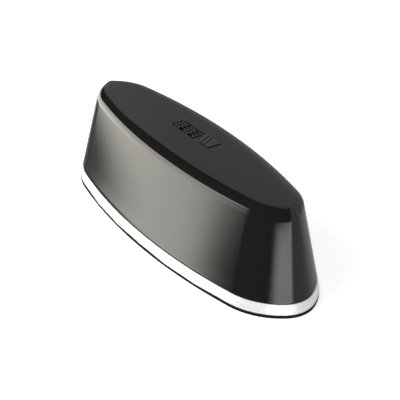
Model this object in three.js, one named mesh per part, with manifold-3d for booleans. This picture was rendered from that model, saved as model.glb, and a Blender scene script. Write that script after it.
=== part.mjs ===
// A sealed GNSS receiver for a survey pole: a glossy radome over a cast aluminium base frame, with a rubber
// pad under it. Inside are the stacked patch antenna, the main board and two lithium cells, and the underside
// carries the pole insert, the data connector, the power key with its lights, and the pressure vent.
// Millimetres, +Z up, +X along the length. The origin is the middle of the pad's underside.
import * as THREE from "three";
import { ParametricGeometry } from "three/addons/geometries/ParametricGeometry.js";
import { mergeVertices } from "three/addons/utils/BufferGeometryUtils.js";
import Module from "manifold-3d";

const wasm = await Module();
wasm.setup();

// ---------------------------------------------------------------- driving sizes
const LENGTH = 200; // overall, at the foot
const WIDTH = 70; // overall, at the foot
const HEIGHT = 56.5; // up to the flat top
const DRAFT = 12; // degrees that every outer wall leans in
const SHOULDER_RADIUS = 37.9; // plan radius between a long side and the nose, at the foot
const NOSE_RADIUS = 17.7; // plan radius of each nose, at the foot
const NOSE_START = 61; // degrees that the outline has turned where the nose arc starts

const PAD_THICKNESS = 1.7;
const BAY_WEB = 3; // rubber between the pad's bay and the nearest screw hole
const BAY_CORNER = 8;
const BAND_HEIGHT = 5.9; // the part of the frame that shows
const PARTING_GAP = 0.4; // shadow gap between the frame and the radome
const SEAT_GAP = 0.1; // between two pieces that rest on each other
const FIT = 0.15; // round a piece that is fixed in a hole
const SLIDE_FIT = 0.25; // round a piece that moves
const ROOM = 0.6; // least air between pieces that don't touch

const RADOME_WALL = 2.6;
const RADOME_ROOF = 3;
const INNER_CORNER = 3; // chamfer where the radome's wall meets its roof inside
const EDGE_DROP = 4.4; // how far the rounded top edge comes down the wall
const EDGE_WIDTH_SIDE = 7.5; // how far it reaches over the top on a long side
const EDGE_WIDTH_NOSE = 4.4; // and at a nose
const MARK_RELIEF = 0.5; // height of the raised mark on the top
const MARK_ROOT = 1; // how deep its plates reach into the roof
const MARK_LEFT = -20.5; // its left end; its front edge lies along the middle line
const FIGURES = 5; // figures of a levelling staff
const FIGURE_PITCH = 4.1;
const FIGURE_LENGTH = 3.4;
const FIGURE_WIDTH = 5.8;
const FIGURE_STROKE = 1.4;
const DASHES = 8; // a row of dashes behind the figures
const DASH_PITCH = 2.4;
const DASH_LENGTH = 1.6;
const DASH_WIDTH = 1.5;
const DASH_FRONT = 7.2;
const FLAG_FRONT = 0.3; // a striped flag to the right of both rows
const FLAG_BACK = 8.7;
const FLAG_LEFT = 3.8; // at its front edge
const FLAG_RIGHT = 12.6;
const FLAG_SLANT = 4.2; // how far its stripes lean to the left towards the back
const FLAG_STRIPE = 2.3;
const FLAG_GAP = 0.6;
const FLAG_STRIPES = 2; // before the wide one at the right

const FRAME_FLOOR = 3;
const TONGUE_WALL = 1.6; // rib that stands inside the radome's mouth
const TONGUE_HEIGHT = 3.2;
const SEAL_WIDTH = 1.2;
const SEAL_DEPTH = 1.2; // depth of the seal's groove

const SCREW_RADIUS = 1.5; // M3 cover screws
const SCREW_LENGTH = 12;
const SCREW_HEAD_RADIUS = 2.75;
const SCREW_HEAD_HEIGHT = 2.2;
const SCREW_KEY_RADIUS = 1.2; // hexagon socket in the head
const SCREW_SINK = 2.6; // depth of the head's counterbore
const SCREW_BOSS_RADIUS = 3.4; // boss in the radome
const SCREW_COLUMN_RADIUS = 4.2; // column on the frame's floor
const SCREW_INSET = 9; // from the foot's outline to a screw on a long side
const NOSE_SCREW_INSET = 13.5;
const MIDDLE_SCREW_X = 29;
const END_SCREW_SETBACK = 10; // before the end of the long side's arc

const INSERT_RADIUS = 11; // brass insert with the 5/8-11 pole thread
const INSERT_BORE = 7.3; // mean radius of the thread
const INSERT_FLANGE_OVERHANG = 2;
const INSERT_FLANGE = 1.6;
const INSERT_ROOF = 1.8;
const INSERT_PROUD = 0.3; // the mouth stands below the frame, so that a pole bears on it
const BOSS_WALL = 2.4; // cast ring that holds the insert
const BOSS_TOP = 15;

const BARREL_RADIUS = 5; // data connector's threaded barrel
const BARREL_WALL = 0.9;
const BARREL_LENGTH = 15;
const BARREL_FLANGE_OVERHANG = 1.2;
const BARREL_FLANGE = 1.4;
const SOCKET_DEPTH = 9.6;
const CONTACT_RADIUS = 0.45;
const CONTACT_REACH = 4.2; // bare length of a contact in the socket
const CONTACT_CIRCLE = 2.5;
const CONTACT_RING = 6; // contacts on the circle, round the one in the middle
const CONTACT_PLATE = 0.8;
const NUT_OVERHANG = 1.9; // from the thread to the nut's corners
const NUT_HEIGHT = 2;
const GASKET_THICKNESS = 0.7;
const CONNECTOR_LAND = 1.5; // extra floor under the nut

const KEY_RADIUS = 4.6;
const KEY_RECESS = 0.7; // the key's face above the pad's foot
const KEY_COLLAR_OVERHANG = 1;
const KEY_COLLAR = 1;
const KEY_TRAVEL = 0.8;
const KEY_STEM_RADIUS = 1.8;
const KEY_STEM_LENGTH = 2.6;
const RING_GROOVE = 0.6; // depth of the sealing ring's groove
const RING_HEIGHT = 0.9;
const SPRING_RADIUS = 2.5;
const SPRING_WIRE = 0.28;
const SPRING_TURNS = 2.5;
const SWITCH_SIZE = 6.4;
const SWITCH_HEIGHT = 3.2;
const PLUNGER_RADIUS = 1.7;
const PLUNGER_LENGTH = 2.2;
const PLUNGER_SHOWN = 0.8;
const KEY_BOARD_THICKNESS = 1.2;
const KEY_BOARD_WIDTH = 6.4;
const KEY_POST_RADIUS = 1.2;
const KEY_PIN_RADIUS = 0.8;
const LIGHT_RADIUS = 1.3;
const LIGHT_COLLAR = 0.5;
const LIGHTS = 3;

const VENT_X = 16.5;
const VENT_RADIUS = 3.6;
const VENT_NECK_RADIUS = 2.4;
const VENT_SINK = 1.2;
const VENT_BARB = 0.45;

const CELL_RADIUS = 9.2; // 18650 lithium cells in their sleeves
const CELL_LENGTH = 64;
const CELL_CAP_RADIUS = 3.6;
const CELL_CAP = 1;
const CELL_NOSE_GAP = 18.25; // from the foot's nose to the nearer end of a cell
const CRADLE_WALL = 1.4;
const CRADLE_LENGTH = 40;
const CRADLE_ANGLE = 65; // degrees from straight down that a cradle's jaw reaches

const BOARD_GAP = 2.7; // between the cells and the main board
const BOARD_THICKNESS = 1.6;
const BOARD_INSET = 13.5; // from the foot's outline to the board's edge
const BOARD_NOSE_GAP = 20; // from the foot's nose to the board's end
const POST_X = 48;
const POST_Y = 14.5;
const POST_RADIUS = 3;
const BOARD_SCREW_RADIUS = 1.25;
const BOARD_SCREW_LENGTH = 6;
const BOARD_SCREW_HEAD_RADIUS = 2.2;
const BOARD_SCREW_HEAD_HEIGHT = 1.4;

// Parts soldered on the main board: centre x and y, then length, width and height.
const GNSS_SHIELD = [-49, 0, 26, 22, 3.4];
const RADIO_SHIELD = [49, 0, 24, 20, 3];
const PROCESSOR = [0, 0, 14, 14, 1.4];
const MOTION_SENSOR = [14, 8, 4, 4, 1];
const SIM_SOCKET = [0, -13.5, 15, 11, 1.8];
const BATTERY_HEADER = [-14, 12, 8, 5, 5.5];
const BLUETOOTH_CHIP = [3, 7, 1.2]; // length, width and height
const CELLULAR_CARRIER = [7, 14, 7.5];
const AERIAL_SETBACK = 6; // from the board's end to the centre of the aerial there
const PART_CORNER = 0.5;

const SPACER_X = 28;
const SPACER_Y = 16.5;
const SPACER_RADIUS = 2.6;
const SPACER_HEIGHT = 8;
const SPACER_TIP_RADIUS = 1.4;
const SPACER_BARB_RADIUS = 1.9;
const SPACER_BARB = 1.4;
const ANTENNA_BOARD_LENGTH = 66;
const ANTENNA_BOARD_WIDTH = 41;
const ANTENNA_BOARD_CORNER = 4;
const LOWER_PATCH = 38;
const LOWER_PATCH_HEIGHT = 5;
const UPPER_PATCH = 25;
const UPPER_PATCH_HEIGHT = 4;
const PATCH_CHAMFER = 3;
const AMPLIFIER_LENGTH = 20;
const AMPLIFIER_WIDTH = 14;
const AMPLIFIER_HEIGHT = 2.4;

const HARNESS_RADIUS = 1.3;
const KEY_LEAD_RADIUS = 0.8;
const THIN_LEAD_RADIUS = 0.7; // battery leads and coaxial lead
const LEAD_END = 3; // straight length at a lead's end
const LEAD_SWAY = 5; // sideways reach of a battery lead
const HARNESS_RUN = 8;
const HARNESS_SWAY = 6;
const COAX_RUN = 16; // from the shield's edge to where the coaxial lead meets the antenna board
const COAX_SIDE = 9;
const COAX_SWAY = 5;
const COAX_ENTRY = 2; // height above the main board where it enters the shield

// ---------------------------------------------------------------- heights and radii that follow
const TAN_DRAFT = Math.tan(THREE.MathUtils.degToRad(DRAFT));
const FLOOR_TOP = PAD_THICKNESS + FRAME_FLOOR;
const BAND_TOP = PAD_THICKNESS + BAND_HEIGHT;
const RADOME_FOOT = BAND_TOP + PARTING_GAP;
const ROOF_UNDERSIDE = HEIGHT - RADOME_ROOF;
const TONGUE_TOP = BAND_TOP + TONGUE_HEIGHT;
const SCREW_SEAT = PAD_THICKNESS + SCREW_SINK;
const COLUMN_TOP = RADOME_FOOT - SEAT_GAP;
const BOSS_RADIUS = INSERT_RADIUS + FIT + BOSS_WALL;
const NUT_RADIUS = BARREL_RADIUS + NUT_OVERHANG;
const PORT_Y = BOSS_RADIUS + NUT_RADIUS + ROOM; // connector on +Y, power key on -Y
const FLANGE_RADIUS = BARREL_RADIUS + BARREL_FLANGE_OVERHANG;
const BARREL_FOOT = PAD_THICKNESS + SEAT_GAP;
const GASKET_FOOT = BARREL_FOOT + BARREL_FLANGE + SEAT_GAP;
const LAND_FOOT = GASKET_FOOT + GASKET_THICKNESS + SEAT_GAP;
const LAND_TOP = FLOOR_TOP + CONNECTOR_LAND;
const SOCKET_END = BARREL_FOOT + SOCKET_DEPTH;
const BARREL_TOP = BARREL_FOOT + BARREL_LENGTH;
const COLLAR_RADIUS = KEY_RADIUS + KEY_COLLAR_OVERHANG;
const COLLAR_FOOT = FLOOR_TOP + SEAT_GAP;
const COLLAR_TOP = COLLAR_FOOT + KEY_COLLAR;
const STEM_TOP = COLLAR_TOP + KEY_STEM_LENGTH;
const PLUNGER_FOOT = STEM_TOP + SEAT_GAP;
const SWITCH_FOOT = PLUNGER_FOOT + PLUNGER_SHOWN;
const KEY_BOARD_FOOT = SWITCH_FOOT + SWITCH_HEIGHT + SEAT_GAP;
const KEY_POST_X = COLLAR_RADIUS + SLIDE_FIT + ROOM / 2 + KEY_POST_RADIUS;
const LIGHT_PITCH = 2 * (LIGHT_RADIUS + LIGHT_COLLAR) + ROOM;
const FIRST_LIGHT_X = -KEY_POST_X - KEY_POST_RADIUS - ROOM - LIGHT_RADIUS - LIGHT_COLLAR;
const CELL_Z = FLOOR_TOP + SEAT_GAP + CRADLE_WALL + SEAT_GAP + CELL_RADIUS;
const CELL_X = LENGTH / 2 - CELL_NOSE_GAP - CELL_LENGTH / 2;
const BOARD_Z = CELL_Z + CELL_RADIUS + BOARD_GAP;
const BOARD_TOP = BOARD_Z + BOARD_THICKNESS;
const ANTENNA_Z = BOARD_TOP + SEAT_GAP + SPACER_HEIGHT + SEAT_GAP;
const ANTENNA_TOP = ANTENNA_Z + BOARD_THICKNESS;
const ENDS = [-1, 1];
const ROUND = 16; // sides of a round piece
const SMALL = 12; // sides of a small one
const FINE = 8; // and of a very small one

// ---------------------------------------------------------------- plan outline
// Six arcs to a half: a long side, two shoulders and a nose, each tangent to the next. They meet because the
// side's turning angle t1 solves tan(t1 / 2) = rise / run, and the inset of the outline by d is each point
// moved back along its own normal by d, which keeps every arc's centre.
const PLAN = (() => {
  const halfLength = LENGTH / 2;
  const halfWidth = WIDTH / 2;
  const t2 = THREE.MathUtils.degToRad(NOSE_START);
  const run = halfLength - SHOULDER_RADIUS * Math.sin(t2) - NOSE_RADIUS * (1 - Math.sin(t2));
  const rise = halfWidth - SHOULDER_RADIUS * (1 - Math.cos(t2)) - NOSE_RADIUS * Math.cos(t2);
  const t1 = 2 * Math.atan(rise / run);
  const sideRadius = SHOULDER_RADIUS + run / Math.sin(t1);
  const side = new THREE.Vector2(0, halfWidth - sideRadius);
  const shift = (from, angle, by) =>
    from.clone().add(new THREE.Vector2(Math.sin(angle), Math.cos(angle)).multiplyScalar(by));
  const shoulder = shift(side, t1, sideRadius - SHOULDER_RADIUS);
  const nose = shift(shoulder, t2, SHOULDER_RADIUS - NOSE_RADIUS);
  return { t1, t2, side, shoulder, nose, sideRadius };
})();
const SIDE_STEPS = 3;
const SHOULDER_STEPS = 6;
const NOSE_STEPS = 3;

// A quarter of the outline as points with their normals, turning from the middle of +Y to the tip of +X.
function quarter() {
  const tip = Math.PI / 2;
  const arcs = [
    [PLAN.side, PLAN.sideRadius, 0, PLAN.t1, SIDE_STEPS],
    [PLAN.shoulder, SHOULDER_RADIUS, PLAN.t1, PLAN.t2, SHOULDER_STEPS],
    [PLAN.nose, NOSE_RADIUS, PLAN.t2, tip, NOSE_STEPS],
  ];
  const stations = [];
  for (const [centre, radius, from, to, steps] of arcs) {
    const last = to === tip ? steps : steps - 1;
    for (let i = 0; i <= last; i += 1) {
      const angle = THREE.MathUtils.lerp(from, to, i / steps);
      const normal = new THREE.Vector2(Math.sin(angle), Math.cos(angle));
      stations.push({ point: centre.clone().addScaledVector(normal, radius), normal });
    }
  }
  return stations;
}

const OUTLINE = (() => {
  const first = quarter();
  const flip = ({ point, normal }, sx, sy) => ({
    point: new THREE.Vector2(point.x * sx, point.y * sy),
    normal: new THREE.Vector2(normal.x * sx, normal.y * sy),
  });
  const back = first.slice().reverse();
  return [
    ...first.slice(0, -1),
    ...back.slice(0, -1).map((s) => flip(s, 1, -1)),
    ...first.slice(0, -1).map((s) => flip(s, -1, -1)),
    ...back.slice(0, -1).map((s) => flip(s, -1, 1)),
  ];
})();

const wallInset = (z) => Math.max(z - PAD_THICKNESS, 0) * TAN_DRAFT;

// A point on a long side's arc at x, moved inwards by inset, on the side sy.
function besideSide(x, sy, inset) {
  const angle = Math.asin(x / PLAN.sideRadius);
  const reach = PLAN.sideRadius - inset;
  return [reach * Math.sin(angle), sy * (PLAN.side.y + reach * Math.cos(angle))];
}

// ---------------------------------------------------------------- shapes
function solid(geometry) {
  const bare = new THREE.BufferGeometry();
  bare.setAttribute("position", geometry.getAttribute("position"));
  bare.setIndex(geometry.index);
  const merged = mergeVertices(bare, 1e-4);
  const vertProperties = new Float32Array(merged.getAttribute("position").array);
  const triVerts = new Uint32Array(merged.index.array);
  const close = () => new wasm.Manifold(new wasm.Mesh({ numProp: 3, vertProperties, triVerts }));
  const made = close();
  if (made.volume() > 0) return made;
  for (let i = 0; i < triVerts.length; i += 3) {
    [triVerts[i + 1], triVerts[i + 2]] = [triVerts[i + 2], triVerts[i + 1]];
  }
  return close();
}

function geometryOf(shape) {
  const { numProp, vertProperties, triVerts } = shape.getMesh();
  const count = vertProperties.length / numProp;
  const position = new Float32Array(count * 3);
  for (let i = 0; i < count; i += 1) {
    position.set(vertProperties.subarray(i * numProp, i * numProp + 3), i * 3);
  }
  const geometry = new THREE.BufferGeometry();
  geometry.setAttribute("position", new THREE.BufferAttribute(position, 3));
  geometry.setIndex(new THREE.BufferAttribute(new Uint32Array(triVerts), 1));
  geometry.computeVertexNormals();
  return geometry;
}

const joined = (shapes) => shapes.reduce((all, one) => all.add(one));

function rod(x, y, low, high, radius, sides = SMALL, topRadius = radius) {
  const shape = new THREE.CylinderGeometry(topRadius, radius, high - low, sides);
  shape.rotateX(Math.PI / 2);
  shape.translate(x, y, (low + high) / 2);
  return solid(shape);
}

function block(x, y, low, length, width, height) {
  const shape = new THREE.BoxGeometry(length, width, height);
  shape.translate(x, y, low + height / 2);
  return solid(shape);
}

// A turned piece about +Z from a closed profile of [radius, z] points, which may end on the axis.
function turned(profile, sides = ROUND) {
  const points = profile.map(([r, z]) => new THREE.Vector2(r, z));
  const shape = new THREE.LatheGeometry(points, sides);
  shape.rotateX(Math.PI / 2);
  return solid(shape);
}

// A ring of rectangular section about +Z.
function ring(inner, outer, low, high) {
  const section = [[inner, low], [outer, low], [outer, high], [inner, high], [inner, low]];
  return turned(section);
}

// A closed skin through rings of the plan outline. Each ring has its height z and its inset, a number or a
// function of the normal there, and a fan about the middle closes each end.
function loft(rings) {
  const rows = rings.length + 1;
  const place = (u, v, target) => {
    const row = Math.round(v * rows);
    const { z, inset } = rings[Math.min(Math.max(row - 1, 0), rings.length - 1)];
    if (row === 0 || row === rows) {
      target.set(0, 0, z);
      return;
    }
    const { point, normal } = OUTLINE[Math.round(u * OUTLINE.length) % OUTLINE.length];
    const by = typeof inset === "function" ? inset(normal) : inset;
    target.set(point.x - normal.x * by, point.y - normal.y * by, z);
  };
  return solid(new ParametricGeometry(place, OUTLINE.length, rows));
}

const upright = (inset, low, high) => loft([{ inset, z: low }, { inset, z: high }]);

// A flat plate with rounded or cut corners and no holes.
function plate(x, y, low, length, width, height, corner, steps = 3) {
  const half = new THREE.Vector2(length / 2, width / 2);
  const outline = new THREE.Shape();
  const turn = (cx, cy, from) => outline.absarc(cx, cy, corner, from, from + Math.PI / 2, false);
  turn(half.x - corner, half.y - corner, 0);
  turn(corner - half.x, half.y - corner, Math.PI / 2);
  turn(corner - half.x, corner - half.y, Math.PI);
  turn(half.x - corner, corner - half.y, 1.5 * Math.PI);
  const settings = { depth: height, bevelEnabled: false, curveSegments: steps };
  const shape = new THREE.ExtrudeGeometry(outline, settings);
  shape.translate(x, y, low);
  return solid(shape);
}

// A round lead through hand-placed points.
function lead(points, radius, steps = 12, sides = 6) {
  const path = new THREE.CatmullRomCurve3(points.map((p) => new THREE.Vector3(...p)));
  const section = new THREE.Shape();
  for (let i = 0; i < sides; i += 1) {
    const angle = (2 * Math.PI * i) / sides;
    const place = [radius * Math.cos(angle), radius * Math.sin(angle)];
    if (i === 0) section.moveTo(...place);
    else section.lineTo(...place);
  }
  return solid(new THREE.ExtrudeGeometry(section, { steps, extrudePath: path }));
}

// ---------------------------------------------------------------- the scene graph
const receiver = new THREE.Group();

function add(name, shape, [color, roughness, metalness], at = [0, 0, 0]) {
  const material = new THREE.MeshStandardMaterial({ color, roughness, metalness });
  const mesh = new THREE.Mesh(geometryOf(shape), material);
  mesh.name = name;
  mesh.position.set(...at);
  receiver.add(mesh);
  return mesh;
}

const GLOSS_BLACK = [0x0b0b0c, 0.12, 0];
const BLASTED_ALUMINIUM = [0xd9dadb, 0.45, 1];
const RUBBER = [0x121212, 0.8, 0];
const STEEL = [0xa9abad, 0.3, 1];
const NICKEL = [0xb9b7ae, 0.3, 1];
const BRASS = [0xc9a54c, 0.3, 1];
const GOLD = [0xd8b45a, 0.25, 1];
const BLACK_PLASTIC = [0x1a1a1c, 0.5, 0];
const CLEAR_PLASTIC = [0xdfe8ea, 0.2, 0];
const BOARD_GREEN = [0x1f5a3a, 0.5, 0];
const TIN = [0xc4c6c8, 0.35, 1];
const CELL_BLUE = [0x2b5fa8, 0.4, 0];
const CERAMIC = [0xcfc5ae, 0.6, 0];
const NYLON = [0xe9e6dc, 0.5, 0];
const LEAD_RED = [0xa01d1d, 0.6, 0];

// ---------------------------------------------------------------- where things stand on the frame
const SCREW_PLACES = [
  ...ENDS.map((sx) => [sx * (LENGTH / 2 - NOSE_SCREW_INSET), 0]),
  ...[MIDDLE_SCREW_X, PLAN.sideRadius * Math.sin(PLAN.t1) - END_SCREW_SETBACK].flatMap((x) =>
    ENDS.flatMap((sx) => ENDS.map((sy) => besideSide(sx * x, sy, SCREW_INSET))),
  ),
];
const POST_PLACES = ENDS.flatMap((sx) => ENDS.map((sy) => [sx * POST_X, sy * POST_Y]));
const SPACER_PLACES = ENDS.flatMap((sx) => ENDS.map((sy) => [sx * SPACER_X, sy * SPACER_Y]));
const LIGHT_PLACES = Array.from({ length: LIGHTS }, (_, i) => [FIRST_LIGHT_X - i * LIGHT_PITCH, -PORT_Y]);
const VENT_PLACE = [VENT_X, -PORT_Y - ROOM];
const TONGUE_OUTSIDE = wallInset(TONGUE_TOP) + RADOME_WALL + FIT;
const TONGUE_INSIDE = TONGUE_OUTSIDE + TONGUE_WALL;
const SEAL_MIDDLE = wallInset(RADOME_FOOT) + RADOME_WALL / 2;

// ---------------------------------------------------------------- radome
// The top edge is a conic that leaves the drafted wall and ends flat on the top, wider along the long sides.
function topEdge() {
  const draft = THREE.MathUtils.degToRad(DRAFT);
  const corner = wallInset(HEIGHT);
  const start = { inset: corner - EDGE_DROP * Math.sin(draft), z: HEIGHT - EDGE_DROP * Math.cos(draft) };
  const weight = Math.cos((Math.PI / 2 - draft) / 2);
  const steps = 5;
  return Array.from({ length: steps + 1 }, (_, i) => {
    const s = i / steps;
    const near = (1 - s) * (1 - s);
    const middle = 2 * s * (1 - s) * weight;
    const far = s * s;
    const sum = near + middle + far;
    const width = (normal) => THREE.MathUtils.lerp(EDGE_WIDTH_NOSE, EDGE_WIDTH_SIDE, normal.y * normal.y);
    return {
      z: (near * start.z + (middle + far) * HEIGHT) / sum,
      inset: (n) => (near * start.inset + middle * corner + far * (corner + width(n))) / sum,
    };
  });
}

// The raised mark's plates, sunk into the roof so that they join it.
function mark() {
  const low = HEIGHT - MARK_ROOT;
  const tall = MARK_ROOT + MARK_RELIEF;
  const flat = (left, front, length, width) =>
    block(left + length / 2, front + width / 2, low, length, width, tall);
  const plates = [];
  for (let i = 0; i < FIGURES; i += 1) {
    const left = MARK_LEFT + i * FIGURE_PITCH;
    const spine = i % 2 ? left + FIGURE_LENGTH - FIGURE_STROKE : left;
    plates.push(flat(spine, 0, FIGURE_STROKE, FIGURE_WIDTH));
    for (let arm = 0; arm < 3; arm += 1) {
      const front = (arm * (FIGURE_WIDTH - FIGURE_STROKE)) / 2;
      plates.push(flat(left, front, FIGURE_LENGTH, FIGURE_STROKE));
    }
  }
  for (let i = 0; i < DASHES; i += 1) {
    plates.push(flat(MARK_LEFT + i * DASH_PITCH, DASH_FRONT, DASH_LENGTH, DASH_WIDTH));
  }
  for (let i = 0; i <= FLAG_STRIPES; i += 1) {
    const left = FLAG_LEFT + i * (FLAG_STRIPE + FLAG_GAP);
    const right = i === FLAG_STRIPES ? FLAG_RIGHT : left + FLAG_STRIPE;
    const backRight = i === FLAG_STRIPES ? FLAG_RIGHT : right - FLAG_SLANT;
    const stripe = new THREE.Shape([
      new THREE.Vector2(left, FLAG_FRONT),
      new THREE.Vector2(right, FLAG_FRONT),
      new THREE.Vector2(backRight, FLAG_BACK),
      new THREE.Vector2(left - FLAG_SLANT, FLAG_BACK),
    ]);
    const shape = new THREE.ExtrudeGeometry(stripe, { depth: tall, bevelEnabled: false });
    shape.translate(0, 0, low);
    plates.push(solid(shape));
  }
  return joined(plates);
}

function radome() {
  const edge = topEdge();
  const outside = loft([{ z: RADOME_FOOT, inset: wallInset(RADOME_FOOT) }, ...edge]);
  const corner = ROOF_UNDERSIDE - INNER_CORNER;
  const inside = loft([
    { z: 0, inset: wallInset(RADOME_FOOT) + RADOME_WALL },
    { z: RADOME_FOOT, inset: wallInset(RADOME_FOOT) + RADOME_WALL },
    { z: corner, inset: wallInset(corner) + RADOME_WALL },
    { z: ROOF_UNDERSIDE, inset: wallInset(corner) + RADOME_WALL + INNER_CORNER },
  ]);
  const bosses = joined(SCREW_PLACES.map(([x, y]) => rod(x, y, RADOME_FOOT, HEIGHT, SCREW_BOSS_RADIUS)));
  const pilots = SCREW_PLACES.map(([x, y]) =>
    rod(x, y, 0, SCREW_SEAT + SCREW_LENGTH + 1, SCREW_RADIUS + FIT, FINE),
  );
  return outside
    .subtract(inside)
    .add(bosses.intersect(outside))
    .subtract(joined(pilots))
    .add(mark());
}

// ---------------------------------------------------------------- base frame
function frame() {
  const shell = loft([
    { z: PAD_THICKNESS, inset: wallInset(PAD_THICKNESS) },
    { z: BAND_TOP, inset: wallInset(BAND_TOP) },
  ]);
  const tongue = upright(TONGUE_OUTSIDE, FLOOR_TOP, TONGUE_TOP);
  const columns = SCREW_PLACES.map(([x, y]) => rod(x, y, FLOOR_TOP - 1, COLUMN_TOP, SCREW_COLUMN_RADIUS));
  const posts = [...POST_PLACES, ...SPACER_PLACES].map(([x, y]) =>
    rod(x, y, FLOOR_TOP - 1, BOARD_Z - SEAT_GAP, POST_RADIUS),
  );
  const lands = [
    rod(0, 0, FLOOR_TOP - 1, BOSS_TOP, BOSS_RADIUS, ROUND),
    rod(0, PORT_Y, FLOOR_TOP - 1, LAND_TOP, NUT_RADIUS + FIT, ROUND),
  ];
  for (const x of [-KEY_POST_X, KEY_POST_X]) {
    lands.push(rod(x, -PORT_Y, FLOOR_TOP - 1, KEY_BOARD_FOOT - SEAT_GAP, KEY_POST_RADIUS));
    lands.push(rod(x, -PORT_Y, FLOOR_TOP - 1, KEY_BOARD_FOOT + KEY_BOARD_THICKNESS, KEY_PIN_RADIUS));
  }
  const hollows = [
    upright(TONGUE_INSIDE, FLOOR_TOP, TONGUE_TOP + 1),
    rod(0, PORT_Y, LAND_TOP, TONGUE_TOP + 1, NUT_RADIUS + FIT, ROUND),
    rod(0, -PORT_Y, FLOOR_TOP, TONGUE_TOP + 1, COLLAR_RADIUS + SLIDE_FIT, ROUND),
  ];
  const groove = upright(SEAL_MIDDLE - SEAL_WIDTH / 2 - SEAT_GAP, BAND_TOP - SEAL_DEPTH, BAND_TOP + 1);
  const grooveCore = upright(SEAL_MIDDLE + SEAL_WIDTH / 2 + SEAT_GAP, 0, BAND_TOP + 2);
  const notches = SCREW_PLACES.map(([x, y]) =>
    rod(x, y, COLUMN_TOP, TONGUE_TOP + 1, SCREW_BOSS_RADIUS + 2 * FIT),
  );
  const holes = [
    rod(0, 0, 0, BOSS_TOP + 1, INSERT_RADIUS + FIT, ROUND),
    rod(0, PORT_Y, 0, LAND_TOP + 1, BARREL_RADIUS + FIT, ROUND),
    rod(0, PORT_Y, 0, LAND_FOOT, FLANGE_RADIUS + FIT, ROUND),
    rod(0, -PORT_Y, 0, FLOOR_TOP + 1, KEY_RADIUS + SLIDE_FIT, ROUND),
    rod(...VENT_PLACE, 0, FLOOR_TOP + 1, VENT_NECK_RADIUS + FIT),
    rod(...VENT_PLACE, 0, PAD_THICKNESS + VENT_SINK + 2 * SEAT_GAP, VENT_RADIUS + FIT),
    ...LIGHT_PLACES.map(([x, y]) => rod(x, y, 0, FLOOR_TOP + 1, LIGHT_RADIUS + FIT)),
    ...SCREW_PLACES.map(([x, y]) => rod(x, y, 0, COLUMN_TOP + 1, SCREW_RADIUS + FIT, FINE)),
    ...SCREW_PLACES.map(([x, y]) => rod(x, y, 0, SCREW_SEAT, SCREW_HEAD_RADIUS + FIT)),
    ...[...POST_PLACES, ...SPACER_PLACES].map(([x, y]) =>
      rod(x, y, BOARD_Z - BOARD_SCREW_LENGTH, BOARD_Z + 1, BOARD_SCREW_RADIUS + FIT, FINE),
    ),
  ];
  return shell
    .add(tongue)
    .subtract(joined(hollows))
    .add(joined([...columns, ...posts, ...lands]))
    .subtract(groove.subtract(grooveCore))
    .subtract(joined(notches))
    .subtract(joined(holes));
}

function seal() {
  const low = BAND_TOP - SEAL_DEPTH + SEAT_GAP / 2;
  const high = RADOME_FOOT - SEAT_GAP / 2;
  const outside = upright(SEAL_MIDDLE - SEAL_WIDTH / 2, low, high);
  return outside.subtract(upright(SEAL_MIDDLE + SEAL_WIDTH / 2, low - 1, high + 1));
}

// ---------------------------------------------------------------- base pad
// A ring of rubber round a bay, which leaves the middle of the frame's underside bare for the fittings.
const BAY_LENGTH = 2 * (MIDDLE_SCREW_X - SCREW_HEAD_RADIUS - BAY_WEB);
const BAY_WIDTH = 2 * (PORT_Y + NUT_RADIUS);

function pad() {
  const sheet = upright(0, 0, PAD_THICKNESS - SEAT_GAP);
  const bay = plate(0, 0, -1, BAY_LENGTH, BAY_WIDTH, PAD_THICKNESS + 2, BAY_CORNER, 5);
  const holes = SCREW_PLACES.map(([x, y]) => rod(x, y, -1, PAD_THICKNESS + 1, SCREW_HEAD_RADIUS + 2 * FIT));
  return sheet.subtract(bay).subtract(joined(holes));
}

// ---------------------------------------------------------------- fasteners and fittings
// A socket-head screw that points up, with its seat at z = 0.
function screw(radius, length, headRadius, headHeight, keyRadius) {
  const head = rod(0, 0, -headHeight, 0, headRadius);
  const shank = rod(0, 0, -headHeight / 4, length, radius, FINE);
  const socket = rod(0, 0, -headHeight - 1, -headHeight / 2, keyRadius, 6);
  return head.add(shank).subtract(socket);
}

function insert() {
  const foot = PAD_THICKNESS - INSERT_PROUD;
  const seat = BOSS_TOP + SEAT_GAP;
  const ledge = seat + INSERT_FLANGE;
  const top = ledge + INSERT_ROOF;
  const rim = INSERT_RADIUS + INSERT_FLANGE_OVERHANG;
  return turned([
    [0, ledge],
    [INSERT_BORE, ledge],
    [INSERT_BORE, foot],
    [INSERT_RADIUS, foot],
    [INSERT_RADIUS, seat],
    [rim, seat],
    [rim, ledge],
    [INSERT_RADIUS, ledge],
    [INSERT_RADIUS, top],
    [0, top],
  ]);
}

function vent() {
  const foot = PAD_THICKNESS + SEAT_GAP;
  const cap = rod(0, 0, foot, foot + VENT_SINK, VENT_RADIUS);
  const neck = rod(0, 0, foot, FLOOR_TOP + SEAT_GAP, VENT_NECK_RADIUS);
  const low = FLOOR_TOP + SEAT_GAP;
  const barb = rod(0, 0, low, low + 1, VENT_NECK_RADIUS + VENT_BARB, SMALL, VENT_NECK_RADIUS - VENT_BARB);
  const mouth = rod(0, 0, foot + VENT_SINK, low + 2, VENT_NECK_RADIUS - 2 * VENT_BARB);
  return cap.add(neck).add(barb).subtract(mouth);
}

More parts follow.
